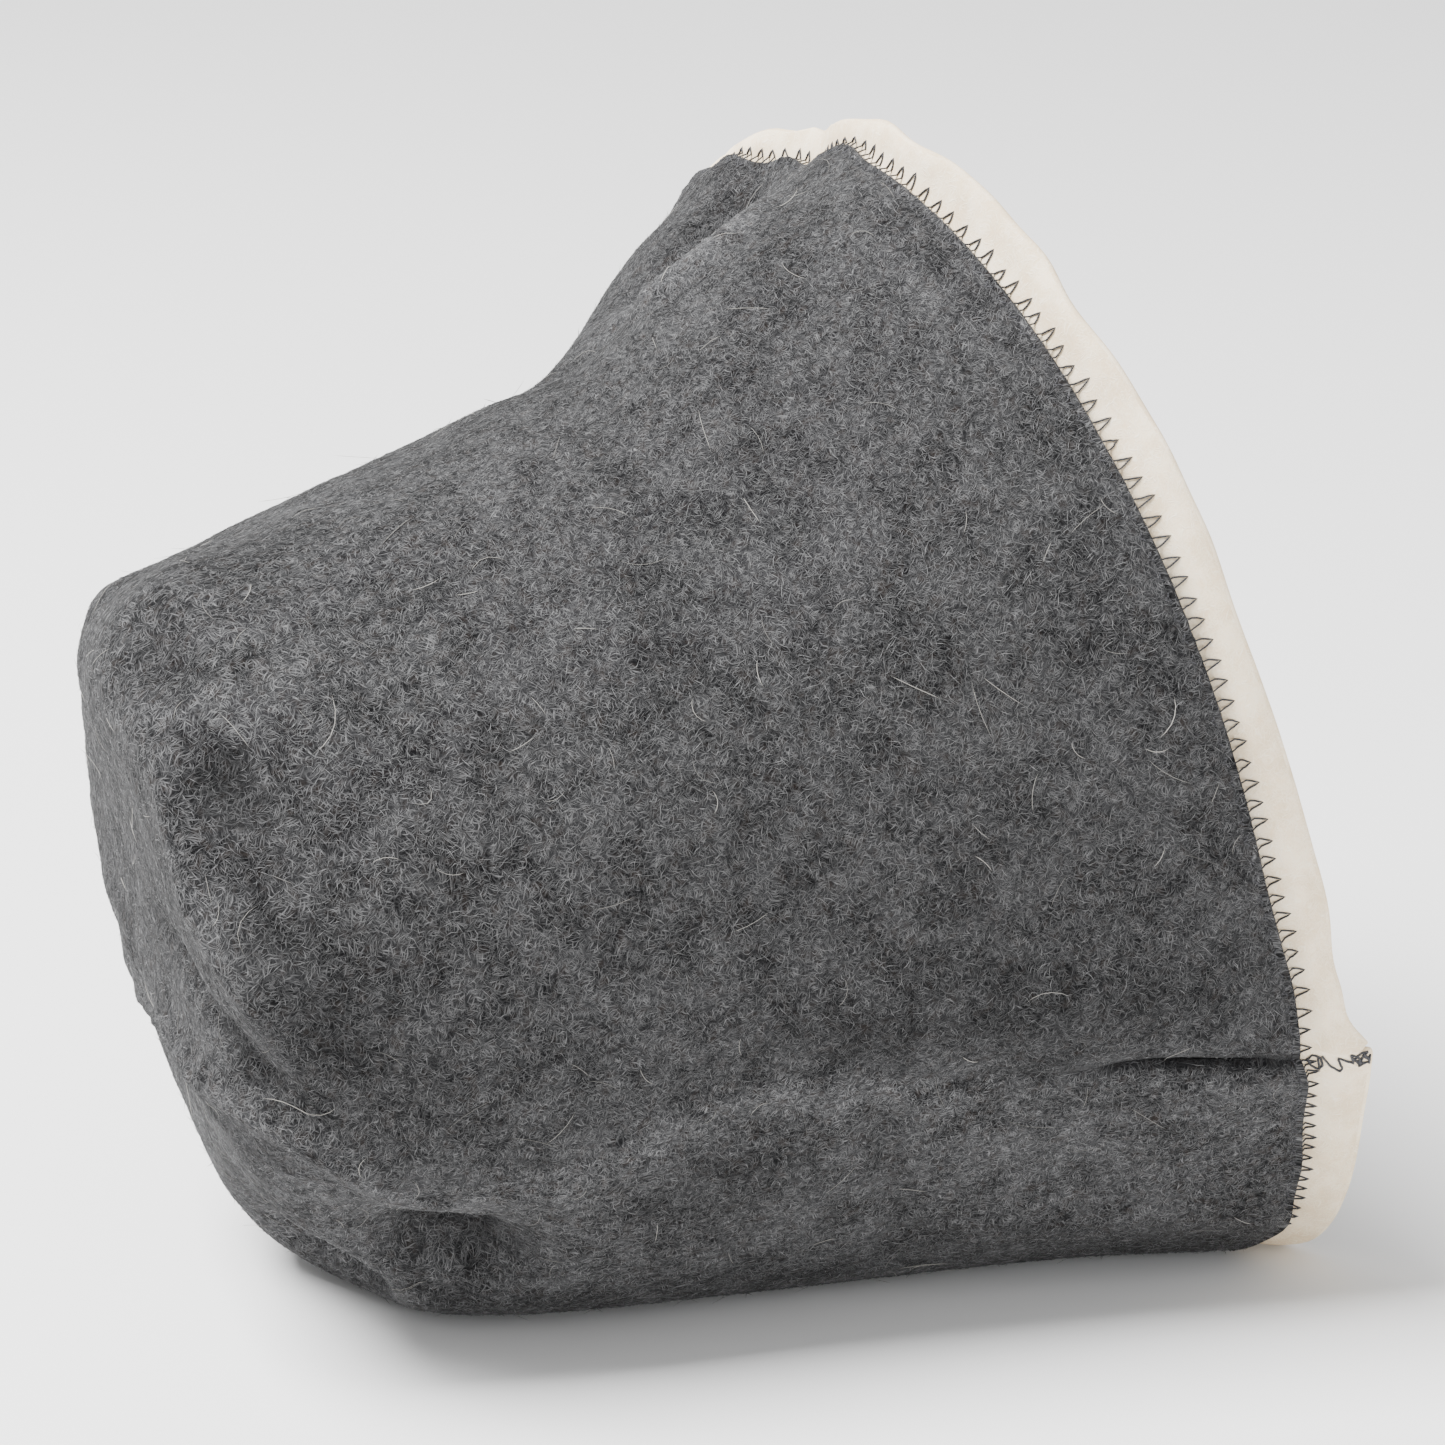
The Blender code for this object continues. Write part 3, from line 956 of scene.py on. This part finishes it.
# %% Mix the felt's colour
CLUMPS_SHOW = (0.55, 0.85)
WARM_SHOWS = (0.52, 0.75)
MOST_WARM = 0.5
TINT_SCALE = 420.0
LEAST_HAIR = 0.5
GROOVE_SHADE_PAINTED = 0.9


def wool_colour(tree, hairs, clumped, wool):
    """Return the felt's colour: ground, clumps, warm wool, hairs, painted shade in the groove, painted light
    and shade on crests and dents.
    """
    spread = add_node(
        tree, "ShaderNodeMapRange", input_0=clumped, input_1=CLUMPS_SHOW[0], input_2=CLUMPS_SHOW[1]
    )
    ground = mix_colours(tree, spread.outputs[0], wool.ground, wool.clump)
    place = tree.nodes.new("ShaderNodeTexCoord").outputs["Object"]
    tint = add_node(tree, "ShaderNodeTexNoise", input_Vector=place, input_Scale=TINT_SCALE, input_Detail=2.0)
    warmth = add_node(
        tree, "ShaderNodeMapRange", input_0=tint.outputs["Fac"],
        input_1=WARM_SHOWS[0], input_2=WARM_SHOWS[1], input_4=MOST_WARM,
    )
    warmed = mix_colours(tree, warmth.outputs[0], ground, wool.warm)
    shown = math_node(tree, "MULTIPLY", hairs["Hair"], math_node(tree, "ADD", hairs["Clump"], LEAST_HAIR))
    haired = mix_colours(tree, shown, warmed, wool.hair)
    # Painted shade: the deep stretch of the groove is darkened towards the ground's colour.
    groove_shade = math_node(tree, "MULTIPLY", number_on_mesh(tree, "groove"), GROOVE_SHADE_PAINTED)
    shadowed = mix_colours(tree, groove_shade, haired, wool.ground)
    # Painted light and shade: the dents' and crests' number makes the colour paler or darker.
    brightness = math_node(tree, "ADD", number_on_mesh(tree, "paler"), 1.0)
    return vector_node(tree, "SCALE", input_0=shadowed, input_Scale=brightness)


# %% Make the felt materials
GRAIN_SHARE = 0.4
CLUMP_RISE = 0.8
BUMP_STRENGTH = 0.8


def felt_material(wool):
    """Make a felt material whose pattern lies on the cloth's own flat map."""
    material, tree, inputs = new_material(wool.name, {
        "Roughness": 0.95, "Specular IOR Level": 0.1, "Sheen Weight": wool.sheen, "Sheen Roughness": 0.5,
    })
    cloth = add_node(tree, "ShaderNodeUVMap", uv_map="cloth").outputs[0]
    hairs = add_node(tree, "ShaderNodeGroup", node_tree=wool_hairs, input_Cloth=cloth)
    for title, value in (("Length mm", wool.length), ("Width mm", wool.width), ("Bend mm", wool.bend)):
        hairs.inputs[title].default_value = value
    hairs = hairs.outputs
    grain = math_node(tree, "MULTIPLY", hairs["Grain"], GRAIN_SHARE)
    clumped = math_node(tree, "ADD", hairs["Clump"], grain)
    height = math_node(tree, "ADD", hairs["Hair"], math_node(tree, "MULTIPLY", clumped, CLUMP_RISE))
    bump = add_node(
        tree, "ShaderNodeBump",
        input_Strength=BUMP_STRENGTH, input_Distance=wool.lift * MM, input_Height=height,
    )
    feed(tree, inputs["Base Color"], wool_colour(tree, hairs, clumped, wool))
    feed(tree, inputs["Normal"], bump.outputs[0])
    return material


def paler(wool, name, times):
    """Return the same wool with every colour but the ground's some times as bright: a lit copy, painted
    light.
    """
    colours = {
        part: tuple(times * value for value in getattr(wool, part)) for part in ("clump", "hair", "warm")
    }
    return wool._replace(name=name, **colours)


# The back panel wears a paler copy of the grey, painted light for its flap under the seam.
front_wool = felt_material(GREY)
back_wool_painted_light = felt_material(paler(GREY, "paler grey felt", BACK_PAINTED_LIGHT))
cream_felt = felt_material(CREAM)
felt["front_felt"].data.materials.append(front_wool)
felt["back_felt"].data.materials.append(back_wool_painted_light)
for name in CREAM_PIECES:
    felt[name].data.materials.append(cream_felt)
print(cream_felt.name, len(cream_felt.node_tree.nodes), "nodes")

# %% [markdown]
# ## Wool, as real hairs
#
# A bump alone leaves the outline as smooth as paper. So hairs are laid on the felt as thin
# closed spindles, three-sided, pointed at both ends and bowed: enough that they read as wool
# when the light grazes them and at the outline. Each is laid in a few places along its
# length, and each place is set on the nearest felt. A few are long and pale, and some stand
# up.

# %% Make spindles
RING = np.radians((90, 210, 330))
FLATNESS = 0.7


def spindle_faces(stops):
    """Return the triangles of one closed spindle with two points and a ring at each stop between."""
    rings = stops - 2
    last = 1 + 3 * (rings - 1)
    faces = []
    for step in range(3):
        following = (step + 1) % 3
        faces.append((0, 1 + following, 1 + step))
        faces.append((last + 3, last + step, last + following))
        for low in range(1, last, 3):
            faces.append((low + step, low + following, low + 3 + following))
            faces.append((low + step, low + 3 + following, low + 3 + step))
    return np.array(faces)


def spindle_mesh(name, places, across, outward, width, tone):
    """Make one mesh of closed spindles through places, which are hairs by stops by 3."""
    hairs, stops = places.shape[:2]
    ring = np.cos(RING)[None, None, :, None] * across[:, None, None, :]
    ring = ring + FLATNESS * np.sin(RING)[None, None, :, None] * outward[:, 1:-1, None, :]
    ring = places[:, 1:-1, None, :] + ring * (width[:, None, None, None] / 2)
    each = 2 + 3 * (stops - 2)
    points = np.concatenate((places[:, :1], ring.reshape(hairs, each - 2, 3), places[:, -1:]), axis=1)
    corners = (spindle_faces(stops)[None] + (np.arange(hairs) * each)[:, None, None]).ravel()
    mesh = bpy.data.meshes.new(name)
    mesh.vertices.add(hairs * each)
    mesh.vertices.foreach_set("co", points.astype(np.float32).ravel())
    mesh.loops.add(len(corners))
    mesh.loops.foreach_set("vertex_index", corners.astype(np.int32))
    mesh.polygons.add(len(corners) // 3)
    mesh.polygons.foreach_set("loop_start", np.arange(0, len(corners), 3, dtype=np.int32))
    mesh.update(calc_edges=True)
    tones = mesh.attributes.new("tone", "FLOAT", "POINT").data
    tones.foreach_set("value", np.repeat(tone, each).astype(np.float32))
    mesh.shade_smooth()
    piece = bpy.data.objects.new(name, mesh)
    bpy.context.collection.objects.link(piece)
    return piece


# %% Find places for hairs
def scatter(skin, chosen, count, random):
    """Return places spread evenly over the chosen faces of a skin, and the directions there."""
    faces = skin.faces[chosen]
    a, b, c, d = (skin.points[faces[:, corner]] for corner in range(4))
    area = lengths(np.cross(c - a, d - b))
    picked = random.choice(len(faces), count, p=area / area.sum())
    u, v = random.random((2, count, 1))
    start = (1 - v) * ((1 - u) * a[picked] + u * b[picked]) + v * ((1 - u) * d[picked] + u * c[picked])
    up = skin.normals[faces[picked]].mean(axis=1)
    return start, unit(up)


def set_on_felt(skin, places):
    """Move each hair's places to the nearest felt and return the felt's directions there."""
    outward = np.empty_like(places)
    for index in np.ndindex(places.shape[:2]):
        on, direction, face, far = skin.tree.find_nearest(places[index])
        places[index] = on
        outward[index] = direction
    return outward


# %% Lay hairs on the felt
Nap = namedtuple("Nap", "stops length longer width lift stand bow tone tone_spread")
SHORT_NAP = Nap((-0.5, 0, 0.5), 2.0, 3.0, 0.13, 0.12, 0.05, 0.12, 0.4, 0.35)
STRAY_HAIR = Nap((-0.5, -0.3, -0.1, 0.1, 0.3, 0.5), 5.0, 8.0, 0.13, 0.4, 0.25, 0.14, 0.55, 0.3)
PAINTED_SHADING_ON_HAIR = 0.6
BARE_GROOVE = 0.3
LEAST_RISE = 0.4
MOST_LEAN = 0.4
LEAN_CURVE = 1.5
LEAST_WIDTH = 0.6
WIDTH_SPREAD = 0.8


def lay_hairs(name, skin, chosen, count, nap, seed):
    """Lay hairs on the chosen faces of a skin, but not in the groove."""
    random = np.random.default_rng(seed)
    start, up = scatter(skin, chosen, count, random)
    # No hairs in the deep groove, where its shade is painted.
    free = painted_groove_shade(start) < BARE_GROOVE
    start = start[free]
    up = up[free]
    count = len(start)
    aim = random.normal(size=(count, 3))
    aim = unit(aim - np.sum(aim * up, axis=1, keepdims=True) * up)
    across = np.cross(up, aim)
    length = (nap.length + nap.longer * random.random(count) ** 2) * MM
    bow = random.normal(size=count) * nap.bow / length
    stops = np.array(nap.stops)
    reach = stops[None, :] * length[:, None]
    aside = bow[:, None] * (2 * reach) ** 2
    places = start[:, None] + reach[..., None] * aim[:, None] + aside[..., None] * across[:, None]
    rise = nap.lift * MM * (LEAST_RISE + random.random(count))
    arch = rise[:, None] * (1 - (2 * stops[None, :]) ** 2)
    lean = (random.random(count) * MOST_LEAN * length)[:, None] * (stops[None, :] + 0.5) ** LEAN_CURVE
    height = np.where((random.random(count) < nap.stand)[:, None], lean, arch)
    outward = set_on_felt(skin, places)
    places += height[..., None] * outward
    places[..., 2] = np.maximum(places[..., 2], 0)
    width = nap.width * MM * (LEAST_WIDTH + WIDTH_SPREAD * random.random(count))
    # Painted light and shade on the hairs too: paler on the crests, darker in the dents.
    tone = nap.tone + nap.tone_spread * random.normal(size=count) + PAINTED_SHADING_ON_HAIR * painted_shading_at(start)
    return spindle_mesh(name, places, across, outward, width, np.clip(tone, 0, 1))


# %% [markdown]
# Hair is the same wool as the felt, so its colour is a mix from dark to pale grey, chosen
# hair by hair through a number stored on the mesh. It is painted paler on the crests and darker
# in the dents, as painted light and shade. Only the front and the back panel's hairs differ: the
# back's are a paler copy, painted light like its felt.

# %% The hairs' materials
def hair_material(name, dark, pale):
    """Make a matt hair material that goes from dark to pale with the hair's tone."""
    numbers = {"Roughness": 0.75, "Specular IOR Level": 0.25, "Sheen Weight": 0.1}
    material, tree, inputs = new_material(name, numbers)
    feed(tree, inputs["Base Color"], mix_colours(tree, number_on_mesh(tree, "tone"), dark, pale))
    return material


# The back panel's hair is also a paler copy, painted light.
grey_hair = {
    "front": hair_material("grey hair", (0.009, 0.009, 0.0095), (0.17, 0.17, 0.172)),
    "back": hair_material("paler grey hair", (0.0105, 0.0105, 0.011), (0.2, 0.2, 0.202)),
}
pale_hair = hair_material("pale hair", (0.09, 0.087, 0.082), (0.38, 0.365, 0.335))

# %% Cover the felt with hairs
HAIRY_SIDES = (OUTSIDE, CUT_EDGE)
NAP_PIECES = 2
NAP_COUNT = 25000
STRAY_COUNT = 340
FIRST_SEED = 10
STRAY_SEED = 30
nap_pieces = []
hairy_skin = read_skin(GREY_PIECES, HAIRY_SIDES)
front_count = len(read_faces(felt["front_felt"].data, HAIRY_SIDES))
front_faces = np.arange(len(hairy_skin.faces)) < front_count
all_faces = np.full(len(hairy_skin.faces), True)
for side, chosen in (("front", front_faces), ("back", ~front_faces)):
    for order in range(NAP_PIECES):
        seed = FIRST_SEED + len(nap_pieces)
        nap = lay_hairs(f"{side}_nap_{order + 1}", hairy_skin, chosen, NAP_COUNT, SHORT_NAP, seed)
        nap.data.materials.append(grey_hair[side])
        nap_pieces.append(nap)
strays = lay_hairs("stray_hairs", hairy_skin, all_faces, STRAY_COUNT, STRAY_HAIR, STRAY_SEED)
strays.data.materials.append(pale_hair)
nap_pieces.append(strays)
print("hair triangles", sum(len(nap.data.polygons) for nap in nap_pieces))

# %% [markdown]
# ## Stitches
#
# A machine zigzag in dark thread holds the strip under the grey edge. It slants out over the
# cream and back into the grey wool, where it hardly shows, and steps on. The edge of the grey
# felt is walked in even steps, and every stitch is bent over the edge and laid on the felt.
# The same zigzag shows inside, on the strip. At each side seam the joint of the strip is
# tacked with a few untidy loops.

# %% Walk along an edge
STITCH_STEP = 4.55 * MM
HAT_MIDDLE = np.array((0, 0.02, 0.12))
CLOSEST = 0.6 * MM
CROWDED_BELOW = 0.045
CROWDED = 1.38


def edge_walk(segments, step):
    """Return places round an edge a step apart, closer low on the near side, and the directions."""
    places = np.array(segments).reshape(-1, 3)
    angle = np.arctan2(places[:, 2] - HAT_MIDDLE[2], places[:, 1] - HAT_MIDDLE[1])
    places = places[angle.argsort()]
    places = places[np.append(True, lengths(np.diff(places, axis=0)) > CLOSEST)]
    closed = np.vstack((places, places[:1]))
    crowded = np.where((closed[1:, 2] < CROWDED_BELOW) & (closed[1:, 1] < 0), CROWDED, 1)
    walked = np.append(0, np.cumsum(crowded * lengths(np.diff(closed, axis=0))))
    count = round(walked[-1] / step)
    at = np.arange(count) / count * walked[-1]
    even = np.stack([np.interp(at, walked, closed[:, axis]) for axis in range(3)], axis=1)
    print(count, "steps round the edge")
    return even, unit(np.roll(even, -1, axis=0) - np.roll(even, 1, axis=0))


# %% Lay a thread
def thread_piece(name, runs, radius):
    """Make a thread through each run of places, as a round mesh tube."""
    curve = bpy.data.curves.new(name, "CURVE")
    curve.dimensions = "3D"
    curve.bevel_depth = radius
    curve.bevel_resolution = 1
    curve.use_fill_caps = True
    for run in runs:
        spline = curve.splines.new("POLY")
        spline.points.add(len(run) - 1)
        spline.points.foreach_set("co", np.column_stack((run, np.ones(len(run)))).ravel())
    piece = bpy.data.objects.new(name, curve)
    bpy.context.collection.objects.link(piece)
    choose(piece)
    bpy.ops.object.convert(target="MESH")
    bpy.ops.object.shade_smooth()
    print(name, len(piece.data.polygons) * 2, "triangles")
    return piece


def laid_on(skin, place, lift):
    """Return the place on a skin nearest to a place, lifted off it."""
    on, direction, face, far = skin.tree.find_nearest(place)
    return np.array(on + direction * lift * MM)


# %% [markdown]
# Each line of the zigzag is a short table: how many millimetres out over the edge a place is,
# and how many it is lifted off the felt. A little chance varies each stitch's reach and sway.

# %% Sew the zigzag
THREAD_RADIUS = 0.19 * MM
STITCH_TIP = 0.52
STITCH_SEED = 7
REACH_SPREAD = 0.12
SWAY_SPREAD = 0.06
FREE_BEYOND = 1
BACK_FROM_EDGE = np.array((5 * MM, 0, 0))
OVER_EDGE = ((-3.0, -0.2), (-1.7, 0.02), (-0.6, 0.15), (0.35, 0.22), (1.0, 0.18), (1.9, 0.18), (2.8, -0.1))
INSIDE_LINE = ((-3.0, -0.1), (-1.5, 0.17), (0, 0.17), (1.5, 0.17), (2.8, -0.1))
edge, along = edge_walk(cut_border, STITCH_STEP)
random = np.random.default_rng(STITCH_SEED)


def out_of_edge(place, direction):
    """Return the directions out over an edge and off the felt, at a place on the grey edge."""
    off = grey_skin.normals[grey_skin.near.find(place - BACK_FROM_EDGE)[1]]
    out = np.cross(direction, off)
    return unit(out * np.sign(out[0])), off


def stitches(line, skin_in, skin_out):
    """Return the runs of a zigzag, each out over the edge and back."""
    runs = []
    first = line[0][0]
    last = line[-1][0]
    for order in range(len(edge)):
        out, off = out_of_edge(edge[order], along[order])
        step = edge[(order + 1) % len(edge)] - edge[order]
        reach = 1 + REACH_SPREAD * random.normal()
        sway = SWAY_SPREAD * random.normal(size=2)[0]
        going = []
        coming = []
        for away, lift in line:
            share = (away - first) / (last - first)
            long = away * reach if away > FREE_BEYOND else away
            skin = skin_in if away <= 0 else skin_out
            over = edge[order] + out * long * MM + step * sway * share
            going.append(laid_on(skin, over + step * STITCH_TIP * share, lift))
            coming.append(laid_on(skin, over + step * (1 - (1 - STITCH_TIP) * share), lift))
        runs.append(going + coming[::-1][1:])
    return runs


cream_inside = read_skin(CREAM_PIECES, (INSIDE,))
outer_runs = stitches(OVER_EDGE, grey_skin, cream_skin)
zigzag = thread_piece("zigzag_thread", outer_runs, THREAD_RADIUS)
inner_runs = stitches(INSIDE_LINE, cream_inside, cream_inside)
inner_zigzag = thread_piece("inner_zigzag_thread", inner_runs, THREAD_RADIUS)

# %% [markdown]
# The tack's loops are drawn flat first, in millimetres: how far out from the seam's end, and
# how far down beside it. Each one is then laid on the strip.

# %% The tack's loops
TACK = (
    ((0.3, -0.5), (0.8, 1.1), (2.2, 1.9), (3.1, 0.8), (2.7, -0.8), (1.4, -1.2), (0.5, -0.3)),
    ((2.3, -0.5), (2.3, 1.9)),
    ((3.1, -1.1), (4.4, 0.8), (5.9, 2.3), (6.4, 1.6), (6.0, -1.2), (7.1, -0.5), (8.6, 0.7), (8.5, -1.6),
     (10, -0.3), (9.3, 1.6), (10.7, 1.1), (8.8, 0), (10.4, -1.4), (12.9, -1.5), (10.7, -0.8), (12.3, 1.4),
     (9.9, 0.8)),
    ((8.6, -1.0), (9.6, 1.3), (11.1, -1.2), (12.1, 1.2), (12.8, -0.8), (12.4, 0.9)),
)
TACK_STEP = 0.5


def smooth_run(points):
    """Return a flat run of places a small step apart through the given ones."""
    points = np.array(points, float)
    walked = np.append(0, np.cumsum(lengths(np.diff(points, axis=0))))
    at = np.linspace(0, walked[-1], max(3, int(walked[-1] / TACK_STEP)))
    return np.stack([np.interp(at, walked, points[:, axis]) for axis in range(2)], axis=1)


# %% Tack the strip's joints
NEAR_SEAM_END = (1309, 1062)
FAR_SEAM_END = (800, 158)
TACK_RADIUS = 0.26 * MM
TACK_LIFT = 0.2
TACK_WAVE = 0.1
WAVE_TURN = 1.7
TACK_SHIFT = (1.0, 1.0)
TACK_SLANT = 0.2
TACK_LONG = 1.12
TACK_WIDE = 1.5


def tack(x, y):
    """Lay the tack's loops over the strip's joint, at the seam's end nearest to a place in the photo."""
    corner = nearest_to_ray(np.array(seam_border).reshape(-1, 3), x, y)
    out, off = out_of_edge(corner, along[lengths(edge - corner).argmin()])
    down = np.cross(out, off)
    print("tack at", corner.round(3), "out", out.round(2), "down", down.round(2))
    runs = []
    for path in TACK:
        flat = smooth_run(path)
        wave = TACK_LIFT + TACK_WAVE * np.sin(np.arange(len(flat)) * WAVE_TURN)
        flat = flat * (TACK_LONG, TACK_WIDE) + TACK_SHIFT
        flat[:, 1] += TACK_SLANT * flat[:, 0]
        places = [corner + (out * a + down * b) * MM for a, b in flat]
        runs.append([laid_on(cream_skin, place, lift) for place, lift in zip(places, wave)])
    return runs


tack_runs = tack(*NEAR_SEAM_END) + tack(*FAR_SEAM_END)
tacks = thread_piece("tack_thread", tack_runs, TACK_RADIUS)

# %% [markdown]
# Thread is twisted, and its plies show as a fine slant. The thread is nearly black, and
# duller than silk.

# %% The thread material
def thread_material():
    """Make a dark thread with a fine twist."""
    numbers = {"Roughness": 0.7, "Specular IOR Level": 0.3}
    material, tree, inputs = new_material("dark thread", numbers)
    place = tree.nodes.new("ShaderNodeTexCoord").outputs["Object"]
    twist = add_node(
        tree, "ShaderNodeTexWave", bands_direction="DIAGONAL",
        input_Vector=place, input_Scale=900.0, input_Distortion=1.0,
    ).outputs["Fac"]
    bump = add_node(
        tree, "ShaderNodeBump", input_Strength=0.5, input_Distance=0.05 * MM, input_Height=twist
    )
    dark_and_light = mix_colours(tree, twist, (0.017, 0.017, 0.019), (0.058, 0.058, 0.063))
    feed(tree, inputs["Base Color"], dark_and_light)
    feed(tree, inputs["Normal"], bump.outputs[0])
    return material


dark_thread = thread_material()
threads = [zigzag, inner_zigzag, tacks]
for piece in threads:
    piece.data.materials.clear()
    piece.data.materials.append(dark_thread)

# %% [markdown]
#
# Each felt piece stands for its plain solid, which is hidden. A panel's cut is measured on its
# unwrapped map. Every piece of felt, hair and thread is attached to the hat's body.

for plan in PIECES:
    piece = felt[plan.name]
    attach(piece, "root")
    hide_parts(plan.node)
for piece in nap_pieces + threads:
    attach(piece, "root")
print(len(felt), "pieces of felt,", len(nap_pieces), "of hair and", len(threads), "of thread")

# %% [markdown]
# ## The room
#
# A pale floor without an edge in view, one large soft light from the upper left, a weak one
# low in front on the right, and a white room all round.

# %% The floor
FLOOR_SIZE = 6
BELOW_HAT = 0.2 * MM
bpy.ops.object.select_all(action="DESELECT")
bpy.ops.mesh.primitive_plane_add(size=FLOOR_SIZE, location=(0, 0, -BELOW_HAT))
floor = bpy.context.object
floor.name = "floor"
bpy.ops.object.transform_apply(location=True, rotation=False, scale=False)
paper = new_material("pale floor", {"Base Color": (0.9, 0.9, 0.9), "Roughness": 0.9})
floor.data.materials.append(paper[0])

# %% The lights
world = bpy.data.worlds.new("white room")
bpy.context.scene.world = world
world.use_nodes = True
background = world.node_tree.nodes["Background"].inputs
background["Color"].default_value = (1, 1, 1, 1)
background["Strength"].default_value = 0.85

Light = namedtuple("Light", "name x y z size watts")
LIGHTS = (
    Light("window", -0.95, 0.15, 1.75, 1.0, 150),
    Light("low front", 0.9, -1.5, 0.12, 0.6, 19),
)
for plan in LIGHTS:
    place = Vector((plan.x, plan.y, plan.z))
    facing = (LOOK_AT - place).to_track_quat("-Z", "Y").to_euler()
    bpy.ops.object.select_all(action="DESELECT")
    bpy.ops.object.light_add(type="AREA", location=place, rotation=facing)
    light = bpy.context.object
    light.name = plan.name
    light.data.size = plan.size
    light.data.energy = plan.watts
print("lights", [plan.name for plan in LIGHTS])
